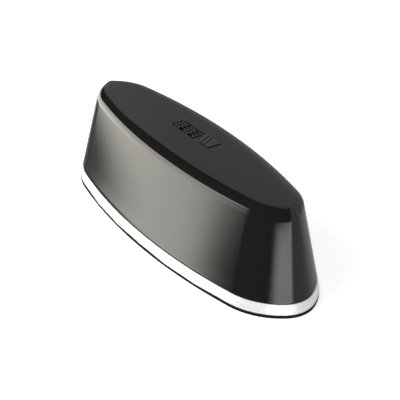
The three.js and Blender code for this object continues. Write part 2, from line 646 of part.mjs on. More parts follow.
function connector() {
  const bore = BARREL_RADIUS - BARREL_WALL;
  const contacts = [[0, 0]];
  for (let i = 0; i < CONTACT_RING; i += 1) {
    const angle = (2 * Math.PI * i) / CONTACT_RING;
    contacts.push([CONTACT_CIRCLE * Math.cos(angle), CONTACT_CIRCLE * Math.sin(angle)]);
  }
  const shell = turned([
    [bore, BARREL_FOOT],
    [FLANGE_RADIUS, BARREL_FOOT],
    [FLANGE_RADIUS, BARREL_FOOT + BARREL_FLANGE],
    [BARREL_RADIUS, BARREL_FOOT + BARREL_FLANGE],
    [BARREL_RADIUS, BARREL_TOP],
    [bore, BARREL_TOP],
    [bore, BARREL_FOOT],
  ]);
  const holes = contacts.map(([x, y]) => rod(x, y, 0, BARREL_TOP + 1, CONTACT_RADIUS + FIT, FINE));
  const insulator = rod(0, 0, SOCKET_END, BARREL_TOP, bore - FIT, ROUND).subtract(joined(holes));
  const tip = SOCKET_END - CONTACT_REACH;
  const plateFoot = BARREL_TOP + SEAT_GAP;
  const pins = contacts.map(([x, y]) => rod(x, y, tip, plateFoot + CONTACT_PLATE / 2, CONTACT_RADIUS, FINE));
  const carrier = rod(0, 0, plateFoot, plateFoot + CONTACT_PLATE, bore, ROUND);
  const nutFoot = LAND_TOP + SEAT_GAP;
  const nut = rod(0, 0, nutFoot, nutFoot + NUT_HEIGHT, NUT_RADIUS, 6);
  const thread = rod(0, 0, nutFoot - 1, nutFoot + NUT_HEIGHT + 1, BARREL_RADIUS + FIT, ROUND);
  const at = [0, PORT_Y, 0];
  add("connector_shell", shell, NICKEL, at);
  add("connector_insulator", insulator, BLACK_PLASTIC, at);
  add("connector_contacts", joined(pins).add(carrier), GOLD, at);
  add("connector_nut", nut.subtract(thread), NICKEL, at);
  const gasketOutside = FLANGE_RADIUS - FIT;
  const gasket = ring(BARREL_RADIUS + FIT, gasketOutside, GASKET_FOOT, GASKET_FOOT + GASKET_THICKNESS);
  add("connector_seal", gasket, RUBBER, at);
}

// ---------------------------------------------------------------- power key
function powerKey() {
  const at = [0, -PORT_Y, 0];
  const grooveLow = (PAD_THICKNESS + FLOOR_TOP) / 2 - RING_HEIGHT / 2;
  const grooveHigh = grooveLow + RING_HEIGHT;
  const grooveRadius = KEY_RADIUS - RING_GROOVE;
  const key = turned([
    [0, KEY_RECESS],
    [KEY_RADIUS, KEY_RECESS],
    [KEY_RADIUS, grooveLow],
    [grooveRadius, grooveLow],
    [grooveRadius, grooveHigh],
    [KEY_RADIUS, grooveHigh],
    [KEY_RADIUS, COLLAR_FOOT],
    [COLLAR_RADIUS, COLLAR_FOOT],
    [COLLAR_RADIUS, COLLAR_TOP],
    [KEY_STEM_RADIUS, COLLAR_TOP],
    [KEY_STEM_RADIUS, STEM_TOP],
    [0, STEM_TOP],
  ]);
  const ringInside = grooveRadius + SEAT_GAP;
  const ringOutside = KEY_RADIUS + SLIDE_FIT / 2;
  const gap = SEAT_GAP / 2;
  add("power_key", key, BLACK_PLASTIC, at);
  add("key_seal", ring(ringInside, ringOutside, grooveLow + gap, grooveHigh - gap), RUBBER, at);
  add("key_spring", spring(), STEEL, at);

  const cavity = rod(0, 0, SWITCH_FOOT - 1, SWITCH_FOOT + PLUNGER_LENGTH + ROOM, PLUNGER_RADIUS + SLIDE_FIT);
  const body = block(0, 0, SWITCH_FOOT, SWITCH_SIZE, SWITCH_SIZE, SWITCH_HEIGHT).subtract(cavity);
  add("key_switch", body, BLACK_PLASTIC, at);
  add("switch_plunger", rod(0, 0, PLUNGER_FOOT, PLUNGER_FOOT + PLUNGER_LENGTH, PLUNGER_RADIUS), NYLON, at);

  const east = KEY_POST_X + KEY_POST_RADIUS + ROOM;
  const west = FIRST_LIGHT_X - (LIGHTS - 1) * LIGHT_PITCH - LIGHT_RADIUS - ROOM;
  const middle = (east + west) / 2;
  const sheet = block(middle, 0, KEY_BOARD_FOOT, east - west, KEY_BOARD_WIDTH, KEY_BOARD_THICKNESS);
  const pins = [-KEY_POST_X, KEY_POST_X].map((x) =>
    rod(x, 0, KEY_BOARD_FOOT - 1, KEY_BOARD_FOOT + 2 * KEY_BOARD_THICKNESS, KEY_PIN_RADIUS + FIT),
  );
  add("key_board", sheet.subtract(joined(pins)), BOARD_GREEN, at);

  LIGHT_PLACES.forEach(([x, y], i) => {
    const foot = PAD_THICKNESS + SEAT_GAP;
    const pipe = rod(0, 0, foot, KEY_BOARD_FOOT - ROOM, LIGHT_RADIUS);
    const collar = rod(0, 0, FLOOR_TOP + SEAT_GAP, FLOOR_TOP + 1, LIGHT_RADIUS + LIGHT_COLLAR);
    add(`status_light_${i + 1}`, pipe.add(collar), CLEAR_PLASTIC, [x, y, 0]);
  });

  const start = [middle, -PORT_Y, KEY_BOARD_FOOT + KEY_BOARD_THICKNESS + SEAT_GAP];
  const reach = BOARD_Z - SEAT_GAP;
  const ribbon = lead(
    [start, [middle, -PORT_Y, start[2] + 4], [middle, -PORT_Y + 4, reach - 3], [middle, -PORT_Y + 4, reach]],
    KEY_LEAD_RADIUS,
  );
  add("key_lead", ribbon, BLACK_PLASTIC);
}

// The key's return spring: a wire that climbs evenly round the stem from the collar to the switch.
function spring() {
  const low = COLLAR_TOP + SPRING_WIRE + SEAT_GAP;
  const high = SWITCH_FOOT - SPRING_WIRE - SEAT_GAP;
  class Coil extends THREE.Curve {
    getPoint(t, target = new THREE.Vector3()) {
      const angle = 2 * Math.PI * SPRING_TURNS * t;
      const z = THREE.MathUtils.lerp(low, high, t);
      return target.set(SPRING_RADIUS * Math.cos(angle), SPRING_RADIUS * Math.sin(angle), z);
    }
  }
  const section = new THREE.Shape();
  section.absarc(0, 0, SPRING_WIRE, 0, 2 * Math.PI, false);
  const settings = { steps: 14 * SPRING_TURNS, curveSegments: 3, extrudePath: new Coil() };
  return solid(new THREE.ExtrudeGeometry(section, settings));
}

// ---------------------------------------------------------------- battery
function battery() {
  const half = THREE.MathUtils.degToRad(CRADLE_ANGLE);
  const down = -Math.PI / 2;
  ENDS.forEach((sx, i) => {
    const can = new THREE.CylinderGeometry(CELL_RADIUS, CELL_RADIUS, CELL_LENGTH, ROUND);
    const cap = new THREE.CylinderGeometry(CELL_CAP_RADIUS, CELL_CAP_RADIUS, 2 * CELL_CAP, SMALL);
    cap.translate(0, CELL_LENGTH / 2, 0);
    const cell = solid(can).add(solid(cap));
    const lying = add(`battery_cell_${i + 1}`, cell, CELL_BLUE, [sx * CELL_X, 0, CELL_Z]);
    lying.rotation.z = (sx * Math.PI) / 2;

    const jaw = new THREE.Shape();
    const inside = CELL_RADIUS + SEAT_GAP;
    const outside = inside + CRADLE_WALL;
    jaw.absarc(0, 0, outside, down - half, down + half, false);
    jaw.absarc(0, 0, inside, down + half, down - half, true);
    const settings = { depth: CRADLE_LENGTH, bevelEnabled: false, curveSegments: 8 };
    const shape = new THREE.ExtrudeGeometry(jaw, settings);
    shape.translate(0, 0, -CRADLE_LENGTH / 2);
    shape.rotateX(Math.PI / 2);
    shape.rotateZ(Math.PI / 2);
    const foot = block(0, 0, -outside, CRADLE_LENGTH, outside, CRADLE_WALL);
    add(`battery_cradle_${i + 1}`, solid(shape).add(foot), BLACK_PLASTIC, [sx * CELL_X, 0, CELL_Z]);

    const tab = sx * (CELL_X - CELL_LENGTH / 2 - CELL_CAP - SEAT_GAP - THIN_LEAD_RADIUS);
    const path = [
      [tab, 0, CELL_Z],
      [tab, (sx * LEAD_SWAY) / 2, CELL_Z + CELL_CAP_RADIUS],
      [tab, sx * LEAD_SWAY, BOARD_Z - LEAD_END],
      [tab, sx * LEAD_SWAY, BOARD_Z - SEAT_GAP],
    ];
    add(`battery_lead_${i + 1}`, lead(path, THIN_LEAD_RADIUS), LEAD_RED);
  });
}

// ---------------------------------------------------------------- main board and what it carries
function mainBoard() {
  const reach = LENGTH / 2 - BOARD_NOSE_GAP;
  const sheet = upright(BOARD_INSET, BOARD_Z, BOARD_TOP);
  const room = block(0, 0, BOARD_Z - 1, 2 * reach, WIDTH, BOARD_THICKNESS + 2);
  const holes = [...POST_PLACES, ...SPACER_PLACES].map(([x, y]) =>
    rod(x, y, BOARD_Z - 1, BOARD_TOP + 1, BOARD_SCREW_RADIUS + FIT, FINE),
  );
  add("main_board", sheet.intersect(room).subtract(joined(holes)), BOARD_GREEN);

  const foot = BOARD_TOP + SEAT_GAP;
  const parts = [
    ["gnss_module_shield", GNSS_SHIELD, TIN],
    ["radio_module_shield", RADIO_SHIELD, TIN],
    ["processor_chip", PROCESSOR, BLACK_PLASTIC],
    ["motion_sensor", MOTION_SENSOR, BLACK_PLASTIC],
    ["sim_socket", SIM_SOCKET, STEEL],
    ["battery_header", BATTERY_HEADER, NYLON],
    ["bluetooth_antenna", [AERIAL_SETBACK - reach, 0, ...BLUETOOTH_CHIP], CERAMIC],
    ["cellular_antenna", [reach - AERIAL_SETBACK, 0, ...CELLULAR_CARRIER], BRASS],
  ];
  for (const [name, [x, y, length, width, height], finish] of parts) {
    add(name, plate(0, 0, 0, length, width, height, PART_CORNER, 1), finish, [x, y, foot]);
  }
  POST_PLACES.forEach(([x, y], i) => {
    const shape = screw(
      BOARD_SCREW_RADIUS,
      BOARD_SCREW_LENGTH,
      BOARD_SCREW_HEAD_RADIUS,
      BOARD_SCREW_HEAD_HEIGHT,
      BOARD_SCREW_RADIUS,
    );
    const mesh = add(`board_screw_${i + 1}`, shape, STEEL, [x, y, BOARD_TOP + SEAT_GAP]);
    mesh.rotation.x = Math.PI;
  });
}

// ---------------------------------------------------------------- antenna
function antenna() {
  const stud = BOARD_THICKNESS + BOARD_SCREW_LENGTH / 2;
  SPACER_PLACES.forEach(([x, y], i) => {
    const tipTop = SPACER_HEIGHT + SEAT_GAP + BOARD_THICKNESS + SEAT_GAP;
    const shape = joined([
      rod(0, 0, 0, SPACER_HEIGHT, SPACER_RADIUS, 6),
      rod(0, 0, -stud, 1, BOARD_SCREW_RADIUS, FINE),
      rod(0, 0, 1, tipTop, SPACER_TIP_RADIUS, FINE),
      rod(0, 0, tipTop, tipTop + SPACER_BARB, SPACER_BARB_RADIUS, FINE, SPACER_TIP_RADIUS / 2),
    ]);
    add(`antenna_spacer_${i + 1}`, shape, NYLON, [x, y, BOARD_TOP + SEAT_GAP]);
  });

  const holes = SPACER_PLACES.map(([x, y]) =>
    rod(x, y, ANTENNA_Z - 1, ANTENNA_TOP + 1, SPACER_TIP_RADIUS + FIT, FINE),
  );
  const sheet = plate(
    0,
    0,
    ANTENNA_Z,
    ANTENNA_BOARD_LENGTH,
    ANTENNA_BOARD_WIDTH,
    BOARD_THICKNESS,
    ANTENNA_BOARD_CORNER,
  );
  add("antenna_board", sheet.subtract(joined(holes)), GOLD);
  const cover = plate(0, 0, 0, AMPLIFIER_LENGTH, AMPLIFIER_WIDTH, AMPLIFIER_HEIGHT, PART_CORNER, 1);
  add("amplifier_shield", cover, TIN, [0, 0, ANTENNA_Z - SEAT_GAP - AMPLIFIER_HEIGHT]);

  const lower = plate(0, 0, 0, LOWER_PATCH, LOWER_PATCH, LOWER_PATCH_HEIGHT, PATCH_CHAMFER, 1);
  add("lower_patch", lower, CERAMIC, [0, 0, ANTENNA_TOP + SEAT_GAP]);
  const upper = plate(0, 0, 0, UPPER_PATCH, UPPER_PATCH, UPPER_PATCH_HEIGHT, PATCH_CHAMFER, 1);
  add("upper_patch", upper, CERAMIC, [0, 0, ANTENNA_TOP + 2 * SEAT_GAP + LOWER_PATCH_HEIGHT]);

  const edge = GNSS_SHIELD[0] + GNSS_SHIELD[2] / 2;
  const end = ANTENNA_Z - SEAT_GAP;
  const entry = BOARD_TOP + COAX_ENTRY;
  const coax = [
    [edge + COAX_RUN, COAX_SIDE, end],
    [edge + COAX_RUN, COAX_SIDE, end - LEAD_END],
    [edge + COAX_RUN / 2, COAX_SIDE - COAX_SWAY / 2, (entry + end - LEAD_END) / 2],
    [edge + LEAD_END, COAX_SIDE - COAX_SWAY, entry],
    [edge + FIT, COAX_SIDE - COAX_SWAY, entry],
  ];
  add("antenna_coax", lead(coax, THIN_LEAD_RADIUS), BLACK_PLASTIC);
}

function harness() {
  const foot = BARREL_TOP + 2 * SEAT_GAP + CONTACT_PLATE;
  const path = [
    [0, PORT_Y, foot],
    [0, PORT_Y, foot + LEAD_END],
    [HARNESS_RUN / 2, PORT_Y - HARNESS_SWAY / 2, (foot + BOARD_Z) / 2],
    [HARNESS_RUN, PORT_Y - HARNESS_SWAY, BOARD_Z - LEAD_END],
    [HARNESS_RUN, PORT_Y - HARNESS_SWAY, BOARD_Z - SEAT_GAP],
  ];
  add("connector_harness", lead(path, HARNESS_RADIUS, 12, FINE), BLACK_PLASTIC);
}

// ---------------------------------------------------------------- everything together
add("radome", radome(), GLOSS_BLACK);
add("base_frame", frame(), BLASTED_ALUMINIUM);
add("base_pad", pad(), RUBBER);
add("housing_seal", seal(), RUBBER);
SCREW_PLACES.forEach(([x, y], i) => {
  const shape = screw(SCREW_RADIUS, SCREW_LENGTH, SCREW_HEAD_RADIUS, SCREW_HEAD_HEIGHT, SCREW_KEY_RADIUS);
  add(`cover_screw_${i + 1}`, shape, STEEL, [x, y, SCREW_SEAT - SEAT_GAP]);
});
add("pole_insert", insert(), BRASS);
add("pressure_vent", vent(), BLACK_PLASTIC, [...VENT_PLACE, 0]);
connector();
powerKey();
battery();
mainBoard();
antenna();
harness();

export default receiver;
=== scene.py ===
"""GNSS receiver: its looks, built in metres with +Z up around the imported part."""

import math

import bpy
import numpy as np
from mathutils import Matrix, Vector


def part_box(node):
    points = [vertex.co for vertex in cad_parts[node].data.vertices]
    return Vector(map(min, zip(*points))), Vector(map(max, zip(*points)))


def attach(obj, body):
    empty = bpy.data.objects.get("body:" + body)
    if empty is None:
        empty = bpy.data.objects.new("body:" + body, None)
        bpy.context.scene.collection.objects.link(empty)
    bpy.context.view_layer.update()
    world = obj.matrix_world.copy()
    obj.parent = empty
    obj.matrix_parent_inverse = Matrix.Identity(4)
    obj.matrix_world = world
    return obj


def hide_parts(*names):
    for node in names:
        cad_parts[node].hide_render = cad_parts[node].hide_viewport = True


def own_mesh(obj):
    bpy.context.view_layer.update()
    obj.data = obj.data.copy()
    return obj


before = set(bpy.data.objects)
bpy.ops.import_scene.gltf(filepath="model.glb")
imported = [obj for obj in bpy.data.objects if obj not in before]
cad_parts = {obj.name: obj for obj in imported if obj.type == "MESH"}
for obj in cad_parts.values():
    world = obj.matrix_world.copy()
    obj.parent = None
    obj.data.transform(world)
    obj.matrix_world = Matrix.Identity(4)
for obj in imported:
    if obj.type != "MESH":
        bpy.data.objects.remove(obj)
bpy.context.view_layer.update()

# -------- sizes in millimetres
MM = 0.001
LENGTH = 200.0
WIDTH = 70.0
HEIGHT = 56.5
DRAFT = math.radians(12)
SHOULDER_RADIUS = 37.9
NOSE_RADIUS = 17.7
NOSE_START = math.radians(61)
PAD_TOP = 1.6
FRAME_FOOT = 1.7
BAND_TOP = 7.6
RADOME_FOOT = 8.0
RADOME_WALL = 2.6
ROOF_UNDERSIDE = 53.5
INNER_CORNER = 3.0
MOUTH_EDGE = 0.35  # radius of the housing's lower rim
MOUTH_CHAMFER = 0.2
EDGE_DROP = 4.4
EDGE_WIDTH_SIDE = 7.5
EDGE_WIDTH_NOSE = 4.4
BAND_SHADOW = 0.35  # dark gap between the foot pad and the bright band
BAND_DEPTH, BAND_EDGE = 1.6, 0.3
# The lip: a black rubber ring in the parting gap, put there as a painted shadow line.
LIP_SETBACK, LIP_DEPTH, LIP_EDGE, LIP_OVERLAP = 0.3, 2.4, 0.1, 0.05
PAD_DEPTH, PAD_EDGE, PAD_TUCK = 1.3, 0.18, 1.2
PORT_Y = 21.05  # distance of the key, the lights and the connector from the long middle line
SPRING_RADIUS, SPRING_WIRE, SPRING_TURNS = 2.5, 0.28, 3.5

MARK_RELIEF = 0.5
MARK_ROOT = 1  # how deep its plates reach into the roof
MARK_LEFT = -20.5
FIGURES, FIGURE_PITCH, FIGURE_LENGTH, FIGURE_WIDTH, FIGURE_STROKE = 5, 4.1, 3.4, 5.8, 1.4
DASHES, DASH_PITCH, DASH_LENGTH, DASH_WIDTH, DASH_FRONT = 8, 2.4, 1.6, 1.5, 7.2
FLAG_FRONT, FLAG_BACK, FLAG_LEFT, FLAG_RIGHT, FLAG_SLANT = 0.3, 8.7, 3.8, 12.6, 4.2
FLAG_STRIPE, FLAG_GAP, FLAG_STRIPES = 2.3, 0.6, 2

COVER_SCREWS = [(-86.5, 0), (86.5, 0), (-28.24, -24.81), (-28.24, 24.81), (28.24, -24.81)]
COVER_SCREWS += [(28.24, 24.81), (-61, -20.41), (-61, 20.41), (60.99, -20.41), (60.99, 20.41)]
LIGHT_X = [-10.95, -15.15, -19.35]
VENT_PLACE = (16.5, -21.65)
TURN = 2 * math.pi
PLACES = 2e3  # places to a millimetre that count as different corners
RIM_SHARE = 0.3  # where the middle row of a softened rim lies, as a share of the rim
TOUCH = 0.01  # radii nearer than this are the same radius


# -------- meshes from arrays
def welded(points, faces):
    """Vertices that share a place become one, and a face loses its repeated corners."""
    keys = np.round(points.reshape(-1, 3) * PLACES).astype(np.int64)
    _, first, index = np.unique(keys, axis=0, return_index=True, return_inverse=True)
    faces = index.reshape(-1)[faces]
    repeated = faces == np.roll(faces, -1, axis=1)
    count = repeated.sum(axis=1)
    whole = faces[count == 0].tolist()
    if faces.shape[1] == 4:
        whole += faces[count == 1][~repeated[count == 1]].reshape(-1, 3).tolist()
    return points.reshape(-1, 3)[first], whole


def grid(points):
    """A closed skin from an array of rows by columns by 3. The columns go round and meet."""
    rows, columns = points.shape[:2]
    here = np.arange(rows * columns).reshape(rows, columns)
    beside = np.roll(here, -1, axis=1)
    faces = np.stack([here[:-1], beside[:-1], beside[1:], here[1:]], axis=-1).reshape(-1, 4)
    a, b, c, d = (points.reshape(-1, 3)[faces[:, k]] for k in range(4))
    volume = np.einsum("ij,ij->", a, np.cross(b, c)) + np.einsum("ij,ij->", a, np.cross(c, d))
    return welded(points, faces if volume > 0 else faces[:, ::-1])


def placed(name, data):
    """A new object at the origin that shows the data."""
    made = bpy.data.objects.new(name, data)
    bpy.context.scene.collection.objects.link(made)
    return made


def piece(name, shells, material, node=None, body="root", crease=35):
    """One object from closed shells, in place of a CAD node where one is named."""
    points, faces, start = [], [], 0
    for shell_points, shell_faces in shells:
        points.append(shell_points)
        faces += [[corner + start for corner in face] for face in shell_faces]
        start += len(shell_points)
    mesh = bpy.data.meshes.new(name)
    mesh.from_pydata((np.concatenate(points) * MM).tolist(), [], faces)
    mesh.polygons.foreach_set("use_smooth", np.ones(len(faces), dtype=bool))
    mesh.set_sharp_from_angle(angle=math.radians(crease))
    mesh.materials.append(material)
    made = placed(name, mesh)
    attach(made, body)
    if node:
        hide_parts(node)
    return made


def cad_shell(node):
    """The CAD node's own triangles in millimetres, as arrays of points and faces."""
    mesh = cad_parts[node].data
    mesh.calc_loop_triangles()
    points = np.empty(len(mesh.vertices) * 3)
    mesh.vertices.foreach_get("co", points)
    corners = np.empty(len(mesh.loop_triangles) * 3, dtype=np.int32)
    mesh.loop_triangles.foreach_get("vertices", corners)
    return points.reshape(-1, 3) / MM, corners.reshape(-1, 3)


# -------- plan outline
def plan_arcs():
    """Six tangent arcs to a half: the side's turning angle t1 solves tan(t1 / 2) = rise / run."""
    sine, cosine = math.sin(NOSE_START), math.cos(NOSE_START)
    run = LENGTH / 2 - SHOULDER_RADIUS * sine - NOSE_RADIUS * (1 - sine)
    rise = WIDTH / 2 - SHOULDER_RADIUS * (1 - cosine) - NOSE_RADIUS * cosine
    side_end = 2 * math.atan(rise / run)
    side_radius = SHOULDER_RADIUS + run / math.sin(side_end)
    side = np.array([0, WIDTH / 2 - side_radius])
    way = np.array([math.sin(side_end), math.cos(side_end)])
    shoulder = side + (side_radius - SHOULDER_RADIUS) * way
    nose = shoulder + (SHOULDER_RADIUS - NOSE_RADIUS) * np.array([sine, cosine])
    turns = [0, side_end, NOSE_START, math.pi / 2]
    return turns, np.array([side, shoulder, nose]), np.array([side_radius, SHOULDER_RADIUS, NOSE_RADIUS])


TURNS, ARC_CENTRES, ARC_RADII = plan_arcs()


def plan_normals(steps=(20, 30, 16)):
    """Outward directions all round the plan, closer together where the outline turns faster."""
    parts = [np.linspace(TURNS[k], TURNS[k + 1], steps[k], endpoint=False) for k in range(3)]
    quarter = np.concatenate([*parts, [math.pi / 2]])
    half = np.concatenate([quarter, math.pi - quarter[-2::-1]])
    whole = np.concatenate([half, half[1:-1] + math.pi])
    return np.stack([np.sin(whole), np.cos(whole)], axis=-1)


NORMALS = plan_normals()


def plan(inset):
    """Points of the outline moved inwards: each arc's centre plus (radius - inset) times the normal."""
    turn = np.arctan2(np.abs(NORMALS[:, 0]), np.abs(NORMALS[:, 1]))
    arc = np.clip(np.searchsorted(TURNS, turn, side="right") - 1, 0, 2)
    centre = ARC_CENTRES[arc] * np.where(NORMALS < 0, -1, 1)
    return centre + (ARC_RADII[arc] - inset)[:, None] * NORMALS


def wall_inset(z):
    """How far the leaning wall stands inside the foot's outline at that height."""
    return max(z - FRAME_FOOT, 0) * math.tan(DRAFT)


def ring(inset, z):
    """One row of a skin: the outline at that inset, which may differ along it, and that height."""
    inset = np.broadcast_to(inset, len(NORMALS))
    flat = plan(inset)
    return np.column_stack([flat, np.broadcast_to(z, len(NORMALS))])


def spine_rows(rim, steps, pull=0.6):
    """Rows along straight lines from the rim to the plan's middle line, pulled in to a share of x."""
    middle = rim * [pull, 0, 1]
    return [rim + (middle - rim) * k / steps for k in range(1, steps + 1)]


def corner_rows(inset, z, radius, start, steps=4):
    """Rows round an edge: a quarter turn of that radius about (inset, z), from angle start on."""
    angles = start + np.linspace(0, math.pi / 2, steps + 1)
    return [ring(inset + radius * math.cos(a), z + radius * math.sin(a)) for a in angles]


# -------- radome
def top_edge_rows(steps=16):
    """Rows of the rounded edge: a conic from the wall to the flat top whose middle control point is
    the corner that the two would make, and whose weight makes it nearly a circle."""
    corner = wall_inset(HEIGHT)
    weight = math.cos((math.pi / 2 - DRAFT) / 2)
    reach = EDGE_WIDTH_NOSE + (EDGE_WIDTH_SIDE - EDGE_WIDTH_NOSE) * NORMALS[:, 1] ** 2
    start = (corner - EDGE_DROP * math.sin(DRAFT), HEIGHT - EDGE_DROP * math.cos(DRAFT))
    rows = []
    for s in np.linspace(0, 1, steps + 1):
        a, b, c = (1 - s) ** 2, 2 * s * (1 - s) * weight, s**2
        inset = (a * start[0] + b * corner + c * (corner + reach)) / (a + b + c)
        rows.append(ring(inset, (a * start[1] + (b + c) * HEIGHT) / (a + b + c)))
    return rows


def radome_skin():
    """The housing as one closed skin: inner roof, inner wall, mouth, outer wall, edge and top."""
    lip = wall_inset(RADOME_FOOT)
    mouth = lip + RADOME_WALL
    wall_low, wall_high = RADOME_FOOT + 2, HEIGHT - 6
    roof = wall_inset(ROOF_UNDERSIDE) + RADOME_WALL
    inner_rim = ring(roof + INNER_CORNER, ROOF_UNDERSIDE)
    inner = [
        inner_rim,
        ring(roof - INNER_CORNER * math.tan(DRAFT), ROOF_UNDERSIDE - INNER_CORNER),
        ring(mouth, RADOME_FOOT + MOUTH_CHAMFER),
        ring(mouth - MOUTH_CHAMFER, RADOME_FOOT),
    ]
    foot_edge = corner_rows(lip + MOUTH_EDGE, RADOME_FOOT + MOUTH_EDGE, MOUTH_EDGE, -math.pi)[::-1]
    wall = [ring(wall_inset(z), z) for z in np.linspace(wall_low, wall_high, 6)]
    over = top_edge_rows()
    rows = [*spine_rows(inner_rim, 3)[::-1], *inner, *foot_edge, *wall, *over]
    rows += spine_rows(over[-1], 6)
    return grid(np.array(rows))


def lathe(profile, at=(0, 0), columns=64, ripple=None):
    """A closed skin of revolution: each row is a circle of the profile's radius at its height.
    ripple(radius, height, angle) gives the radius and height that replace them."""
    angle = np.linspace(0, TURN, columns, endpoint=False)[None, :]
    radius = np.array([p[0] for p in profile], dtype=float)[:, None] + 0 * angle
    height = np.array([p[1] for p in profile], dtype=float)[:, None] + 0 * angle
    if ripple:
        radius, height = ripple(radius, height, angle)
    x, y = at[0] + radius * np.cos(angle), at[1] + radius * np.sin(angle)
    return grid(np.stack([x, y, height], axis=-1))


def rounded(profile, radius=0.25, steps=3):
    """The profile with each corner between its ends replaced by a parabola, so that its edges catch
    light. The parabola takes the radius from each side, or under half of a shorter side."""
    share, smallest = 2.2, 1e-9
    points = [np.array(p, dtype=float) for p in profile]
    made = [points[0]]
    for before, corner, after in zip(points, points[1:], points[2:]):
        back, on = before - corner, after - corner
        back_length, on_length = np.linalg.norm(back), np.linalg.norm(on)
        cut = min(radius, back_length / share, on_length / share)
        first = corner + back / max(back_length, smallest) * cut
        last = corner + on / max(on_length, smallest) * cut
        for k in range(steps + 1):
            t = k / steps
            made.append((1 - t) ** 2 * first + 2 * t * (1 - t) * corner + t**2 * last)
    return [*made, points[-1]]


def stroke(path, half, low, high, edge):
    """A raised line: the curve at distance half from the path, with round ends, and a softened rim."""
    path = np.array(path, dtype=float)
    way = np.gradient(path, axis=0)
    way /= np.linalg.norm(way, axis=1)[:, None]
    left = np.column_stack([-way[:, 1], way[:, 0]])
    cap = np.linspace(0, math.pi, 9)[1:-1, None]
    first, last = left[0], left[-1]
    begin_at, end_at = (np.repeat(place, len(cap), 0) for place in (path[:1], path[-1:]))
    centres = np.concatenate([path, end_at, path[::-1], begin_at])
    end = last * np.cos(cap) + way[-1] * np.sin(cap)
    begin = -first * np.cos(cap) - way[0] * np.sin(cap)
    out = np.concatenate([left, end, -left[::-1], begin])
    side = 1 if high > low else -1
    rows = [(0, low), (half, low), (half, high - side * edge)]
    rows += [(half - edge * RIM_SHARE, high - side * edge * RIM_SHARE), (half - edge, high), (0, high)]
    flat = [np.column_stack([centres + out * reach, np.full(len(out), z)]) for reach, z in rows]
    return grid(np.array(flat))


def circle_path(radius, start, stop, steps):
    """Points of an arc about the origin."""
    angle = np.linspace(start, stop, steps)
    return np.column_stack([radius * np.cos(angle), radius * np.sin(angle)])


def widened(corners, by):
    """A convex polygon with each side moved outwards: a corner moves by the sum of its sides' outward
    normals, divided by one plus their dot product."""
    after = np.roll(corners, -1, axis=0) - corners
    outward = np.column_stack([after[:, 1], -after[:, 0]]) / np.linalg.norm(after, axis=1)[:, None]
    before = np.roll(outward, 1, axis=0)
    return corners + by * (outward + before) / (1 + (outward * before).sum(axis=1))[:, None]


def relief(corners, low, high, edge=0.06):
    """A raised plate over a convex polygon: upright walls and a rounded rim."""
    corners = np.array(corners, dtype=float)
    middle = np.tile(corners.mean(axis=0), (len(corners), 1))
    part = RIM_SHARE * edge
    steps = [(0, low), (0, high - edge), (-part, high - part), (-edge, high)]
    outlines = [(middle, low), *((widened(corners, by), z) for by, z in steps), (middle, high)]
    return grid(np.array([np.column_stack([flat, np.full(len(flat), z)]) for flat, z in outlines]))


def rectangle(left, front, length, width):
    """A rectangle's four corners, anticlockwise."""
    right, back = left + length, front + width
    return [(left, front), (right, front), (right, back), (left, back)]


def mark_plates():
    """The raised mark: figures of a levelling staff, a row of dashes behind them and a striped flag."""
    plates = []
    for i in range(FIGURES):
        left = MARK_LEFT + i * FIGURE_PITCH
        spine = left + FIGURE_LENGTH - FIGURE_STROKE if i % 2 else left
        plates.append(rectangle(spine, 0, FIGURE_STROKE, FIGURE_WIDTH))
        for arm in range(3):
            front = arm * (FIGURE_WIDTH - FIGURE_STROKE) / 2
            plates.append(rectangle(left, front, FIGURE_LENGTH, FIGURE_STROKE))
    for i in range(DASHES):
        plates.append(rectangle(MARK_LEFT + i * DASH_PITCH, DASH_FRONT, DASH_LENGTH, DASH_WIDTH))
    for i in range(FLAG_STRIPES + 1):
        left = FLAG_LEFT + i * (FLAG_STRIPE + FLAG_GAP)
        last = i == FLAG_STRIPES
        right = FLAG_RIGHT if last else left + FLAG_STRIPE
        back_right = FLAG_RIGHT if last else right - FLAG_SLANT
        front = [(left, FLAG_FRONT), (right, FLAG_FRONT)]
        plates.append([*front, (back_right, FLAG_BACK), (left - FLAG_SLANT, FLAG_BACK)])
    return [relief(plate, HEIGHT - MARK_ROOT, HEIGHT + MARK_RELIEF) for plate in plates]


# -------- base
def tucked(node, low, high, by):
    """The CAD node's own shell with its outermost wall moved inwards along the plan's normals, so that
    a smooth ring can stand in that wall's place."""
    height_slack, wall_slack = 0.05, 0.6
    points, faces = cad_shell(node)
    outer = np.array([ring(wall_inset(z), z) for z in (low, high)])
    for row in outer:
        chosen = np.flatnonzero(np.abs(points[:, 2] - row[0, 2]) < height_slack)
        gap = np.linalg.norm(points[chosen, None, :2] - row[None, :, :2], axis=2)
        nearest = gap.argmin(axis=1)
        on_wall = gap.min(axis=1) < wall_slack
        points[chosen[on_wall], :2] -= NORMALS[nearest[on_wall]] * by
    return welded(points, faces)


def edge_band(low, high, depth, radius, setback=0.0):
    """A closed ring under the outline, set back from it, with both outer edges rounded."""
    foot, head = wall_inset(low) + setback, wall_inset(high) + setback
    rows = [ring(foot + depth, low)]
    rows += corner_rows(foot + radius, low + radius, radius, -math.pi)[::-1]
    rows += corner_rows(head + radius, high - radius, radius, math.pi / 2)[::-1]
    rows += [ring(head + depth, high), rows[0]]
    return grid(np.array(rows))


# -------- turned pieces
def triangle_wave(x):
    """A wave of straight flanks: -1 at whole numbers and 1 half way between them."""
    return 2 * np.abs(2 * (x - np.floor(x + 0.5))) - 1


